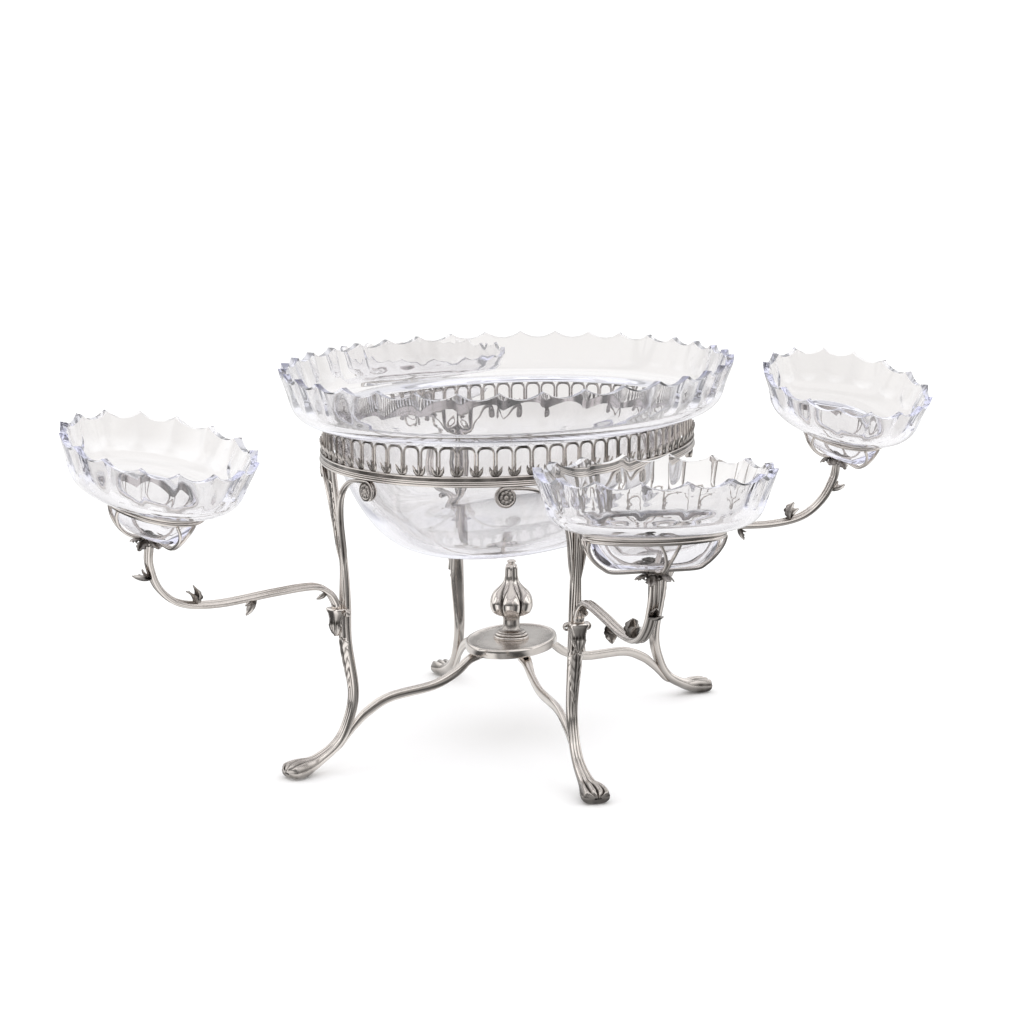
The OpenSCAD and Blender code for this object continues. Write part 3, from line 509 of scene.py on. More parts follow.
# Radius, height, half width, half depth and turn down a leg, the steps between rows, and the steps above the shin
LEG_ROWS = [
    [TOP_R, BAND_Z - 0.1, 4.6, 2.1, TOP_TURN], [TOP_R - 3.6, BAND_Z - 27, 3.8, 2.1, TOP_TURN],
    [KNEE_R + 0.8, 117.5, 3.3, 2.1, TOP_TURN], [KNEE_R, 94, 3.6, 2.6, 0], [KNEE_R, 72, 4.2, 2.6, 0],
    [TOP_R - 13, 43, 3.3, 2.6, 0], [TOP_R - 9, 25.8, 3.1, 2.6, 0], [TOP_R - 1, 14.5, 3.3, 2.6, 0],
    [TOP_R + 12.8, 7.2, 4.5, 3.2, 0], [TOP_R + 23, 5, 7.0, 5, 0], [TOP_R + 29.4, 4.4, 7.6, 4.6, 0],
    [TOP_R + 31.4, 4.2, 6.6, 3.6, 0], [TOP_R + 32.4, 4.1, 4.6, 2.4, 0], [TOP_R + 32.8, 4.0, 2.0, 1.0, 0]]
LEG_STEPS = 12
LEG_UPPER = 5 * LEG_STEPS


def leg_frame():
    """Fine path of a leg with its side and front vectors and half sizes."""
    rows = spline(LEG_ROWS, LEG_STEPS)
    r, z, half_w, half_d, turn = rows.T
    _, normal = plane_frame(r, z)
    c, s = np.cos(turn)[:, None], np.sin(turn)[:, None]
    path = np.stack([r, np.zeros_like(r), z], 1)
    return path, ACROSS * c - normal * s, normal * c + ACROSS * s, half_w, half_d


def leg_shells():
    """Leg: a rounded section with reeds on its front that turn into toes, with a knee leaf and a top leaf on it."""
    look = bpy.context.scene.epergne_silver
    path, side, up, half_w, half_d = leg_frame()
    sec = section(88, 2.6)
    z, reach = path[:, 2], path[:, 0]
    upper = smoothstep(z, 92, 98)[:, None]
    paw = smoothstep(reach, TOP_R + 8, TOP_R + 26)[:, None] * (z < 30)[:, None]
    five, four = reeds(sec, look.leg_reeds, True), reeds(sec, 4, True)
    groove = upper * five * look.reed_depth + (1 - upper) * four * (0.45 + 1.5 * paw)
    groove = groove * (1 - 0.7 * smoothstep(z, 150, 166)[:, None])
    grid = sweep(path, side, up, half_w, half_d, sec, groove)
    grid[..., 2] = np.clip(grid[..., 2], 0.0, BAND_Z - 0.05)
    # Painted shade and painted dark reflection: the underside of the lower leg and the whole paw are darkened, as
    # they face and mirror the shadowed floor.
    under = np.clip(-sec[:, 1], 0, 1) ** 0.5 * (0.3 + 0.3 * paw) + 0.3 * paw
    dark = np.clip(upper * five**2 * 1.1 + (1 - upper) * (four**2 * (0.8 + 0.2 * paw) + under), 0, 1)
    return [(grid, False, dark), overlay_leaf(path, side, up, half_d, 76, 44, 4.4, 5),
            overlay_leaf(path, side, up, half_d, 163, 130, 3.4, 6)]


def overlay_leaf(path, side, up, half_d, high, low, width, lobes):
    """Leaf laid on the front of a leg between two heights: lobed edges bent back on the leg, and slanting veins."""
    keep = (path[:, 2] <= high) & (path[:, 2] >= low) & (path[:, 0] < TOP_R + 5)
    u = np.linspace(0, 1, keep.sum())
    fine = np.linspace(0, 1, 8 * lobes + 1)
    spine, across, front = (np.stack([np.interp(fine, u, v[keep][:, i]) for i in range(3)], 1)
                            for v in (path, side, up))
    depth = np.interp(fine, u, half_d[keep])
    edge = 0.72 + 0.3 * np.abs(np.sin(np.pi * lobes * fine))
    half = width * (1 - fine**1.6 * 0.9) * edge * smoothstep(fine, -0.05, 0.1)
    spine = spine + front * (depth + 0.35)[:, None]
    grid = leaf(spine, across, front, half, np.full_like(fine, 1.3), -0.11 * half**2, 36)
    v = np.abs(leaf_columns(36))
    vein = (0.5 + 0.5 * np.cos(2 * np.pi * (lobes * fine[:, None] + 1.1 * v))) ** 5 * (v > 0.2)
    return grid, False, np.clip(0.9 * np.exp(-((v / 0.14) ** 2)) + 0.8 * vein, 0, 1)


def socket_shells():
    """Knee capital: a flared shell round the slot of the branch, with a strap on each side that curls to an ear."""
    rows = np.array([[0.8, 0.6, 75.5], [2.6, 1.9, 77.2], [3.7, 2.8, 79.5], [4.3, 3.1, 81.5], [3.9, 2.8, 83],
                     [3.9, 2.8, 85], [4.5, 3.3, 88], [5.5, 4.1, 89.6], [5.6, 4.2, 90.4], [5.2, 3.8, 91],
                     [3.3, 2.0, 91], [3.15, 1.85, 90.6], [3.1, 1.8, 81], [3.1, 1.8, 80.9]])
    sec = section(40, 3.0)
    grid = np.stack([ROOT_R + rows[:, 1:2] * sec[:, 1], rows[:, :1] * sec[:, 0],
                     rows[:, 2:] * np.ones(len(sec))], -1)
    dark = np.interp(np.arange(len(rows)), [0, 2, 3, 4, 6, 7, 9, 13],
                     [0.1, 0.1, 0.0, 0.5, 0.3, 0.05, 0.0, 0.5])[:, None]
    flute = (0.5 - 0.5 * np.cos(np.arange(len(sec)) * np.pi / 2)) * (np.arange(len(rows)) < 5)[:, None]
    grid = grid + (np.array([ROOT_R, 0, 0]) - grid) * (0.14 * flute)[..., None] * np.array([1, 1, 0])
    shells = [(grid, False, np.clip(dark + 0.5 * flute, 0, 1))]
    q = np.linspace(np.pi, -1.9 * np.pi, 40)
    radius = np.linspace(2.4, 0.35, 40)
    strap = spline([[3.9, 74.5], [3.6, 78], [3.3, 82], [3.2, 86]], 4)
    curl = np.concatenate([strap, np.stack([5.6 + radius * np.cos(q), 88.3 + radius * np.sin(q)], 1)])
    for hand in (-1, 1):
        path = np.stack([np.full(len(curl), ROOT_R - 3.2), hand * curl[:, 0], curl[:, 1]], 1)
        heading = unit(np.gradient(path, axis=0))
        side = np.broadcast_to([1.0, 0, 0], path.shape)
        up = np.cross(side, heading)
        half = np.linspace(0.85, 0.45, len(path))
        shells.append((sweep(path, side, up, 2.2 * half, half, section(12, 2.2)), False, 0.3))
    return shells


BRACKET_T, BRACKET_W, BRACKET_REACH, BRACKET_DROP, BRACKET_BASE = 1.7, 4.0, 45.0, 56.0, 4.15
VOLUTE_R, ROSETTE_R = 4.85, 4.0
VOLUTE_Z = BAND_Z - 0.85 - VOLUTE_R


def bracket_point(side, s, z):
    """Place of a bracket: along the gallery by arc length from the leg, set in with the leg at its height."""
    length, angle = oval_table(BAND_A, BAND_B)
    t = np.interp(np.interp(TOP_T, angle, length) + side * s, length, angle)
    upper = leg_frame()[0][:LEG_UPPER][::-1]
    inset = np.interp(z, upper[:, 2], TOP_R - upper[:, 0]) * np.maximum(0, 1 - s / BRACKET_REACH)
    inwards = np.array([math.cos(PHI), math.sin(PHI)])
    xy = np.stack([BAND_A * np.cos(t), BAND_B * np.sin(t)], -1) - inset[..., None] * inwards
    normal = oval_normal(BAND_A, BAND_B, t)
    return np.concatenate([xy, z[..., None]], -1), np.concatenate([normal, 0 * z[..., None]], -1)


def bracket_shells(side):
    """Scroll bracket: a strap swept up the leg, out under the gallery and round its volute."""
    base, drop, reach = BRACKET_BASE, BRACKET_DROP, BRACKET_REACH
    line = spline([[base - 1.2, BAND_Z - drop], [base + 0.2, BAND_Z - drop + 12], [base + 2, BAND_Z - drop * 0.54],
                   [base + 6, BAND_Z - drop * 0.33], [reach * 0.38, BAND_Z - drop * 0.17],
                   [reach * 0.66, BAND_Z - 2.45], [reach, BAND_Z - 0.85]], 10)
    q = np.radians(np.arange(8, 330, 8))
    round_r = VOLUTE_R - 0.3 * q / q[-1]
    line = np.concatenate([line, np.stack([reach + round_r * np.sin(q), VOLUTE_Z + round_r * np.cos(q)], 1)])
    path, normal = bracket_point(side, line[:, 0], line[:, 1])
    up = unit(np.cross(normal, unit(np.gradient(path, axis=0))))
    u = np.linspace(0, 1, len(path))
    half_t = 0.5 * BRACKET_T * (0.1 + 1.05 * smoothstep(u, 0, 0.2))
    sec = section(20, 3.2)
    cut = 0.3 * np.exp(-((sec[:, 0] / 0.3) ** 2)) * np.ones((len(path), 1))
    grid = sweep(path, normal, up, BRACKET_W / 2 * (0.3 + 0.7 * smoothstep(u, 0, 0.1)), half_t, sec, cut)
    return grid, False, 0.1 + 2.6 * cut


def rosette_shell(side):
    """Rosette: a disc whose two faces rise in eight petals round a button."""
    centre, normal = bracket_point(side, np.array([BRACKET_REACH]), np.array([VOLUTE_Z]))
    q = np.arange(64) * 2 * np.pi / 64
    rho = np.array([0.05, 0.18, 0.3, 0.36, 0.5, 0.68, 0.85, 0.98, 1.0])
    petal = np.abs(np.cos(4 * q))
    high = np.array([0.55, 0.5, 0.3, 0.02, 0.22, 0.38, 0.28, 0.0, -0.3])[:, None] * (0.45 + 0.55 * petal ** 0.5)
    radius = ROSETTE_R * rho[:, None] * (0.93 + 0.07 * petal)
    tangent = np.cross(UPRIGHT, normal[0])
    disc = centre[0] + tangent * (radius * np.cos(q))[..., None] + UPRIGHT * (radius * np.sin(q))[..., None]
    rise = normal[0] * (1.9 + 1.2 * high)[..., None]
    dark = np.clip(0.7 - 1.7 * high, 0, 1)
    return np.concatenate([disc + rise, (disc - rise)[::-1]]), False, np.concatenate([dark, dark[::-1]])


def stretcher_shells():
    """Stretcher: a strap that leaves the back of a leg, rises inwards and flares to a scroll under the plate."""
    reach = 1 / math.hypot(math.cos(PHI) / PLATE_A, math.sin(PHI) / PLATE_B)
    rows = spline([
        [TOP_R - 0.5, 10.3, 1.3, 0.3], [TOP_R - 4, 13, 1.5, 0.9], [TOP_R - 8.6, 18, 1.5, 1.5],
        [TOP_R - 14.2, 23.4, 1.6, 2.2], [TOP_R - 23, 29.5, 1.9, 2.7], [TOP_R - 39, 35.2, 1.9, 2.7],
        [reach + 28, 37, 1.9, 2.7],
        [reach + 11, 42, 1.9, 2.7], [reach + 2, 47.6, 2.9, 2.2], [reach - 5, 49.6, 3.8, 2.1],
        [reach - 9, 49.6, 3.0, 1.6], [reach - 11, 49.4, 1.4, 0.8]], 8)
    r, z, half_w, half_h = rows.T
    _, normal = plane_frame(r, z)
    path = np.stack([r, 0 * r, z], 1)
    side = np.broadcast_to(ACROSS, path.shape)
    sec = section(28, 3.0)
    cut = reeds(sec, 2, False)
    return [(sweep(path, side, normal, half_w, half_h, sec, 0.22 * cut), False, 0.3 * cut**2 + 0.05)]


def plate_shell():
    """Stretcher plate: an oval disc with a moulded rim that stands a little over both faces."""
    a = np.linspace(-0.5 * np.pi, 0.5 * np.pi, 13)
    rim = np.stack([0.9 + 0.9 * np.cos(a), 54.5 + 2.7 * np.sin(a)], 1)
    rows = np.concatenate([[[-10, 52.4], [-3, 52.4], [-1.2, 51.9], [0, 51.8]], rim,
                           [[0, 57.2], [-0.8, 56.9], [-1.5, 56.35], [-2.6, 56.3], [-10, 56.5]]])
    grid = moulding(PLATE_A, PLATE_B, rows, 144).transpose(1, 0, 2)
    dark = np.interp(np.arange(len(rows)), [0, 3, 17, 19, 20, 22], [0.1, 0.2, 0.1, 0.5, 0.5, 0.05])
    return grid, False, dark[:, None]


def finial_shells():
    """Finial: a stepped turned foot, and a bud of drop-shaped lobes that draw in to a neck and knob.

    Across a lobe the radius falls as the root of one less the square of the angle over the lobe's width, and that
    width shrinks towards the neck.
    """
    z = PLATE_Z
    foot = spline([[10.2, z - 0.1], [10.4, z + 0.7], [10.1, z + 1.5], [9.3, z + 1.8], [9.6, z + 2.5],
                   [9.2, z + 3.1], [8.3, z + 3.4], [8.2, z + 4.0], [7.0, z + 4.5], [5.8, z + 5.2], [5.1, z + 7.0],
                   [4.8, z + 9.0], [4.8, z + 11.0], [5.1, z + 12.4], [5.3, z + 13.1], [4.0, z + 13.4]], 4)
    rows = spline([[0.4, 0, 0, 0.9], [0.66, 0.025, 0.5, 0.95], [0.9, 0.09, 1, 0.98], [1, 0.2, 1, 0.98],
                   [0.97, 0.3, 1, 0.93], [0.84, 0.41, 1, 0.78], [0.58, 0.51, 0.9, 0.55], [0.39, 0.6, 0.6, 0.42],
                   [0.32, 0.7, 0.5, 0.4], [0.3, 0.83, 0.5, 0.42], [0.25, 0.9, 0.3, 0.5], [0.15, 0.935, 0, 0.5],
                   [0.2, 0.965, 0, 0.5], [0.16, 0.99, 0, 0.5], [0.06, 1, 0, 0.5]], 6)
    bud = lathe(np.stack([BUD_R * rows[:, 0], BUD_Z + BUD_H * rows[:, 1]], 1), 144)
    q = np.arange(144) * 2 * np.pi / 144
    apart = np.abs(2 * ((BUD_LOBES * (q - FRONT) / (2 * np.pi) + 0.5) % 1) - 1)
    depth, width = rows[:, 2:3], rows[:, 3:4]
    swell = np.sqrt(np.clip(1 - (apart / width) ** 2, 0, 1))
    bud[..., :2] *= (1 - 0.24 * depth * (1 - swell))[..., None]
    dark = 0.85 * depth * np.exp(-(((apart - width) / 0.12) ** 2))
    foot_dark = np.interp(foot[:, 1], z + np.array([0, 1.5, 1.8, 2.2, 3.1, 3.4, 3.8, 4.6, 6, 9, 13]),
                          [0.1, 0.1, 0.8, 0.1, 0.1, 0.8, 0.1, 0.6, 0.3, 0.3, 0.4])[:, None]
    return [(lathe(foot, 64), False, foot_dark)], [(bud, False, dark)]


# Shapes of the branches: radius, height, half width and half thickness along one
BRANCH_ROWS = [
    [ROOT_R, 81, 2.8, 1.5], [ROOT_R, 86, 2.8, 1.5], [ROOT_R, 91, 2.8, 1.5], [ROOT_R + 0.6, 95, 3.3, 1.75],
    [ROOT_R + 5, 100.5, 3.3, 1.75], [ROOT_R + 15, 104.5, 3.3, 1.75], [ROOT_R + 40.1, 103, 3.3, 1.75],
    [ROOT_R + 73.2, 99.8, 3.3, 1.75], [STEM_R - 22, 102, 3.3, 1.75], [STEM_R - 8, 111.5, 3.3, 1.75],
    [STEM_R - 1, 125, 3.3, 1.75], [STEM_R, 134.5, 3.2, 1.8], [STEM_R, 138.6, 3.2, 2.0]]
BRANCH_STEPS = 12


def branch_frame():
    """Fine path of a branch with its front normal and half sizes."""
    r, z, half_w, half_t = spline(BRANCH_ROWS, BRANCH_STEPS).T
    heading, normal = plane_frame(r, z)
    return np.stack([r, 0 * r, z], 1), heading, normal, half_w, half_t


def branch_shells(corner):
    """Branch: a strap with rounded reeds on both faces, up out of the socket, over its crest and up to the hub."""
    look = bpy.context.scene.epergne_silver
    path, _, normal, half_w, half_t = branch_frame()
    sec = section(44, 3.0)
    side = np.broadcast_to(ACROSS, path.shape)
    reeded = smoothstep(path[:, 2], 91.5, 95)[:, None]
    cut = reeds(sec, look.branch_reeds, False)
    grid = sweep(path, side, normal, half_w, half_t, sec, reeded * cut * 0.75)
    share = bend_share(2 * np.arange(len(path)) / BRANCH_STEPS)
    return [(bend(grid, corner, share[:, None]), False, reeded * cut**2 * 0.9)]


def branch_leaf(corner, step, over, length, width, turn, lean):
    """Lobe of a leaf on a branch: its spine leaves the strap at a turn from the normal and bends along it."""
    path, heading, normal, _, half_t = branch_frame()
    i = int(step * BRANCH_STEPS / 2)
    n = over * normal[i] * math.cos(turn) + heading[i] * math.sin(turn)
    h = heading[i] * math.cos(turn) - over * normal[i] * math.sin(turn)
    u = np.linspace(0, 1, 22)[:, None]
    root = path[i] + over * normal[i] * (half_t[i] - 0.3)
    spine = root + length * (n * (0.85 * u - 0.1 * u**3) + h * 0.45 * u * u)
    spine = spine + ACROSS * lean * length * u**1.3
    ahead = unit(np.gradient(spine, axis=0))
    side = unit(ACROSS - ahead * ahead[:, 1:2])
    up = np.cross(side, ahead)
    flat = u[:, 0]
    half = length * width * np.sin(np.pi * np.clip(0.12 + 0.88 * flat, 0, 1)) ** 0.7
    half = half * (0.88 + 0.16 * np.abs(np.sin(3.5 * np.pi * flat))) + 0.15
    grid = leaf(spine, side, up, half, 1.6 - 0.9 * flat, -0.1 * half**2, 16)
    return bend(grid, corner, bend_share(step)), False, leaf_patina(22, 16)


def branch_leaf_shells(corner):
    """Leaves along a branch: a thorn near the root, a hanging leaf, an upright pair and a leaf on the stem."""
    lobes = [(8.3, -1, 7.0, 0.32, 0.0, 0.0), (12.8, -1, 11.5, 0.3, 0.05, 0.0), (12.8, -1, 7.5, 0.34, 0.6, 0.0),
             (15.3, 1, 12.0, 0.32, -0.15, -0.1), (15.3, 1, 9.5, 0.36, 0.3, 0.1), (19, -1, 12.5, 0.3, 0.1, 0.0),
             (19, -1, 8.5, 0.34, 0.7, 0.0)]
    return [branch_leaf(corner, *lobe) for lobe in lobes]


def around_stem(points, q):
    """Points drawn outwards from the stem's axis, turned by an angle about it and moved to the stem."""
    c, s = np.cos(q), np.sin(q)
    return np.stack([STEM_R + points[..., 0] * c - points[..., 1] * s, points[..., 0] * s + points[..., 1] * c,
                     points[..., 2]], -1)


def calyx_shells():
    """Calyx: a turned hub with two beads and ragged leaves that curl down round it."""
    hub = lathe([[1.5, HUB_Z - 0.1], [3.6, HUB_Z - 0.2], [4.3, HUB_Z + 0.5], [4.1, HUB_Z + 1.2], [3.8, HUB_Z + 1.6],
                 [4.3, HUB_Z + 2.2], [4.4, HUB_Z + 3.0], [3.9, HUB_Z + 3.5], [1.5, HUB_Z + 3.6]], 40)
    hub[..., 0] += STEM_R
    u = np.linspace(0, 1, 22)
    length = 10.0
    half = length * 0.36 * np.sin(np.pi * (0.15 + 0.83 * u)) ** 0.7 * (0.7 + 0.36 * np.abs(np.sin(3.5 * np.pi * u)))
    shells = [(hub, False, 0.4)]
    for k in range(6):
        q = (k + 0.5) * np.pi / 3
        droop = 0.6 + 0.5 * (k % 2)
        spine = np.stack([HUB_R - 0.6 + length * (0.75 * u - 0.12 * u**3), 0 * u,
                          HUB_Z + 0.9 - length * droop * (0.05 * u + 0.36 * u * u)], 1)
        ahead = unit(np.gradient(spine, axis=0))
        side = np.broadcast_to(ACROSS, spine.shape)
        grid = leaf(spine, side, np.cross(ahead, side), half, 1.2 - 0.7 * u, -0.1 * half**2, 14)
        # Painted shade: the calyx leaves are darkened by 0.3 all over, on top of the patina along their veins and
        # feet.
        shells.append((around_stem(grid, q), False, 0.3 + 0.7 * leaf_patina(22, 14)))
    return shells


def claw_shells():
    """Claws: pairs of prongs that run out from the hub side by side, rise and part under the ring."""
    level, start, near = HUB_Z + HUB_H - 1.0, HUB_R - 0.4, 0.72
    shells = []
    for k in range(4):
        reach = RING_Q if k % 2 == 0 else RING_P
        for hand in (-1, 1):
            rows = spline([[start, hand * near, level], [reach - 14, hand * near, level + 0.1],
                           [reach - 8.5, hand * near, level + 2.3], [reach - 3.4, hand * (near + 0.3), level + 6.8],
                           [reach - 0.5, hand * (near + 2.0), level + 12], [reach, hand * 4.9, RING_Z + 0.3]], 9)
            heading = unit(np.gradient(rows, axis=0))
            up = unit(np.cross(heading, ACROSS))
            side = np.cross(up, heading)
            ones = np.ones(len(rows))
            grid = sweep(rows, side, up, 0.85 * ones, 0.95 * ones, section(12, 2.2))
            shells.append((around_stem(grid, k * np.pi / 2), False, 0.12))
    return shells


def ring_shell():
    """Dish ring: an oval hoop whose outside is two rounded reeds with a groove between."""
    a = np.linspace(-0.5 * np.pi, 0.5 * np.pi, 11)
    low = np.stack([0.55 + 0.75 * np.cos(a), RING_Z + 1.0 + 0.98 * np.sin(a)], 1)
    high = np.stack([0.55 + 0.75 * np.cos(a), RING_Z + 3.0 + 0.98 * np.sin(a)], 1)
    profile = np.concatenate([low, high, [[-1.25, RING_Z + 3.95], [-1.25, RING_Z + 0.05]]])
    grid = moulding(RING_Q, RING_P, profile, 120)
    dark = np.interp(np.arange(len(profile)), [0, 8, 10, 11, 13, 23], [0.1, 0.1, 1, 1, 0.1, 0.1])
    grid[..., 0] += STEM_R
    return grid, True, dark[None, :]


# Shapes of the glass
def glass_shell(a, b, count, columns, depth, segments):
    """Cut bowl: rows of offset, height, flute share and notch share round an oval.

    Across a scallop u runs from 0 to 1 and the dip is 4u(1-u). The rim drops by the notch times the dip, and the
    outside is cut in by the flute depth times the dip less a square of the depth under the flute's crown, so that
    each flute ends in a round foot.
    """
    look = bpy.context.scene.epergne_glass
    rows = np.concatenate([segments[0][:1]] + [np.asarray(part, float)[1:] for part in segments])
    n = count * columns
    t = 2 * np.pi * np.arange(n) / n
    u = (np.arange(n) % columns) / columns
    dip = 4 * u * (1 - u)
    off, z, flute, notch = (rows[:, i:i + 1] for i in range(4))
    foot = 1 - np.clip(flute / 0.45, 0, 1)
    cut = np.where(flute > 0, np.clip(dip - foot**2, 0, 1), 0)
    off = off - depth / MM * cut
    z = z - look.notch / MM * notch * dip
    return np.stack([(a + off) * np.cos(t), (b + off) * np.sin(t), z * np.ones(n)], -1)


def wall(low_off, low_z, high_off, high_z, steps, cut):
    """Rows of a wall between two heights, with flute and notch shares that grow with the height."""
    f = np.linspace(0, 1, steps)
    return np.stack([low_off + (high_off - low_off) * f, low_z + (high_z - low_z) * f, cut * f, f], 1)


def plain(points, steps):
    """Rows through offset and height points as a smooth curve, with no flute and no notch."""
    rows = spline(points, steps)
    return np.concatenate([rows, np.zeros_like(rows)], 1)


def centre_bowl_shell():
    """Large bowl: a deep rounded oval basin under a round shoulder and a flared scalloped wall."""
    look = bpy.context.scene.epergne_glass
    return glass_shell(BAND_A, BAND_B, 36, 12, look.flute, [
        plain([[-62, 120], [-54, 120.2], [-43, 122.4], [-34, 127], [-25, 135.5], [-15.5, 150], [-8.6, 166],
               [-4.6, 181], [-3.3, 189]], 4),
        plain([[-3.3, 189], [-2.4, 189.5], [4, 189.6], [9, 190.7], [13.5, 192.8], [16.6, 195.8], [18.3, 199]], 4),
        wall(18.3, 199, 25, 219.5, 14, 1.0),
        [[25, 219.5, 1, 1], [22.8, 219.5, 0, 1], [20.6, 219.4, 0, 1]],
        wall(14, 201, 20.6, 219.4, 10, 0.0)[::-1],
        plain([[14, 201], [12, 197.6], [8, 195.2], [1, 194], [-5, 193.2], [-8.2, 190.5], [-10, 183], [-14, 167],
               [-21, 151.5], [-30.5, 138.5], [-39, 131], [-48, 127.3], [-62, 126.4]], 4)])


def dish_shell():
    """Small dish: a shallow oval basin with a round shoulder and a flared scalloped wall."""
    look = bpy.context.scene.epergne_glass
    grid = glass_shell(RING_Q, RING_P, 16, 14, look.dish_flute, [
        plain([[-18, 143.1], [-14, 143.3], [-10.8, 144.2], [-7.7, 146.1], [-5.0, 149.1], [-3.4, 153], [-2.5, 158],
               [-2.1, 161]], 4),
        plain([[-2.1, 161], [-1.6, 161.4], [3, 161.5], [9, 162.8], [14, 165], [17, 167.6], [18.8, 170.4]], 4),
        wall(18.8, 170.4, 26, 191.4, 14, 1.0),
        [[26, 191.4, 1, 1], [23.6, 191.4, 0, 1], [21.4, 191.3, 0, 1]],
        wall(14.4, 172.6, 21.4, 191.3, 10, 0.0)[::-1],
        plain([[14.4, 172.6], [12, 169.2], [7, 166.4], [0, 164.9], [-5, 163.8], [-7.2, 160.5],
               [-9.4, 155.6], [-12.4, 151.4], [-16, 149], [-19, 148.2]], 4)])
    grid[..., 0] += STEM_R
    return grid


# Settings
class EpergneSilver(bpy.types.PropertyGroup):
    """Look of the silver."""
    tone: FloatVectorProperty(name="Tone", description="Colour of polished silver", subtype="COLOR",
                              default=(0.84, 0.785, 0.74), min=0, max=1)
    roughness: FloatProperty(name="Roughness", description="Dullness of the polish", subtype="FACTOR",
                             default=0.12, min=0, max=1)
    # Scales the patina in recesses and the painted shade alike.
    patina_and_shade: FloatProperty(name="Patina", description="Strength of the dark patina in recesses", subtype="FACTOR",
                          default=1.3, min=0, max=2)
    leg_reeds: IntProperty(name="Leg reeds", description="Reeds across the front of an upper leg",
                           default=5, min=2, max=8)
    branch_reeds: IntProperty(name="Branch reeds", description="Reeds across a branch", default=3, min=2, max=5)
    reed_depth: FloatProperty(name="Reed depth", description="Depth of leg grooves in millimetres",
                              default=0.9, min=0, max=1.5)


class EpergneGlass(bpy.types.PropertyGroup):
    """Look and cut of the glass."""
    tone: FloatVectorProperty(name="Tone", description="Colour of light through one wall", subtype="COLOR",
                              default=(0.88, 0.872, 0.868), min=0, max=1)
    ior: FloatProperty(name="Index", description="Refractive index of the crystal", default=1.52, min=1, max=2)
    tint: FloatVectorProperty(name="Tint", description="Colour of light through thick glass", subtype="COLOR",
                              default=(0.78, 0.79, 0.95), min=0, max=1)
    density: FloatProperty(name="Density", description="Strength of the tint per metre",
                           default=12.0, min=0, max=100)
    flute: FloatProperty(name="Flute depth", description="Depth of a flute of the bowl", unit="LENGTH",
                         default=0.0008, min=0, max=0.003)
    dish_flute: FloatProperty(name="Dish flute depth", description="Depth of a flute of a dish", unit="LENGTH",
                              default=0.0014, min=0, max=0.003)
    notch: FloatProperty(name="Notch depth", description="Drop of the rim between its points", unit="LENGTH",
                         default=0.0036, min=0, max=0.006)


class EpergneStage(bpy.types.PropertyGroup):
    """Studio stage and camera."""
    location: FloatVectorProperty(name="Camera place", description="Place of the camera", subtype="TRANSLATION",
                                  unit="LENGTH", default=(-1.366, -0.405, 0.369))
    rotation: FloatVectorProperty(name="Camera turn", description="Rotation of the camera", subtype="EULER",
                                  unit="ROTATION", default=(math.radians(80.5), 0, math.radians(-73.5)))
    lens: FloatProperty(name="Lens", description="Focal length in millimetres", default=87.9, min=20, max=300)
    light: FloatProperty(name="Light", description="Strength of the white room", default=1.1, min=0, max=5)


# Operators
def at_corner(shells, corner):
    """Shells of the corner plane moved to a corner."""
    return [(to_corner(grid, corner), ring, patina_and_shade) for grid, ring, patina_and_shade in shells]


class EPERGNE_OT_gallery(bpy.types.Operator):
    """Build the gallery's mouldings, arches and palmettes"""
    bl_idname = "epergne.gallery"
    bl_label = "Gallery"

    def execute(self, context):
        silver, dark = silvers()
        for name, profile, node in (("band_moulding", band_profile(), "reeded_moulding"),
                                    ("band_strip", strip_profile(), "gallery_strip")):
            patina_and_shade = profile[:, 2] * np.ones((240, 1))
            add_piece(name, "stand", [(moulding(BAND_A, BAND_B, profile[:, :2], 240), True, patina_and_shade)], silver,
                      [node])
        grid, patina_and_shade = arcade_hoops()
        add_piece("arcade", "stand", [(grid, False, patina_and_shade)], silver, ["arcade_hoops"])
        add_piece("palmettes", "stand", arcade_leaves(), dark, ["arcade_leaves"])
        return {"FINISHED"}


class EPERGNE_OT_legs(bpy.types.Operator):
    """Build the legs, knee capitals, scroll brackets and rosettes"""
    bl_idname = "epergne.legs"
    bl_label = "Legs"

    def execute(self, context):
        silver, dark = silvers()
        for corner, (sx, sy) in CORNERS.items():
            add_piece(f"reeded_leg_{corner}", "stand", at_corner(leg_shells(), corner), silver,
                      [f"leg_{corner}"])
            add_piece(f"capital_{corner}", "stand", at_corner(socket_shells(), corner), silver,
                      [f"branch_socket_{corner}"])
            flip = np.array([sx, sy, 1.0])
            straps = [(g * flip, ring, p) for g, ring, p in (bracket_shells(-1), bracket_shells(1))]
            add_piece(f"brackets_{corner}", "stand", straps, silver, [f"scroll_brackets_{corner}"])
            eyes = [(g * flip, ring, p) for g, ring, p in (rosette_shell(-1), rosette_shell(1))]
            add_piece(f"volute_eyes_{corner}", "stand", eyes, dark, [f"rosettes_{corner}"])
        return {"FINISHED"}


class EPERGNE_OT_base(bpy.types.Operator):
    """Build the stretchers, their plate and the finial"""
    bl_idname = "epergne.base"
    bl_label = "Stretchers and finial"

    def execute(self, context):
        silver, dark = silvers()
        for corner in CORNERS:
            add_piece(f"stretcher_strap_{corner}", "stand", at_corner(stretcher_shells(), corner), silver,
                      [f"stretcher_{corner}"])
        add_piece("oval_plate", "stand", [plate_shell()], silver, ["stretcher_plate", "plate_rim"])
        foot, bud = finial_shells()
        add_piece("turned_foot", "stand", foot, silver, ["finial_foot"])
        add_piece("lobed_bud", "stand", bud, silver, ["finial_bud"], sharp=60)
        for node in ("finial_stud", "finial_nut"):
            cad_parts[node].data.materials.clear()
            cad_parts[node].data.materials.append(dark)
        return {"FINISHED"}


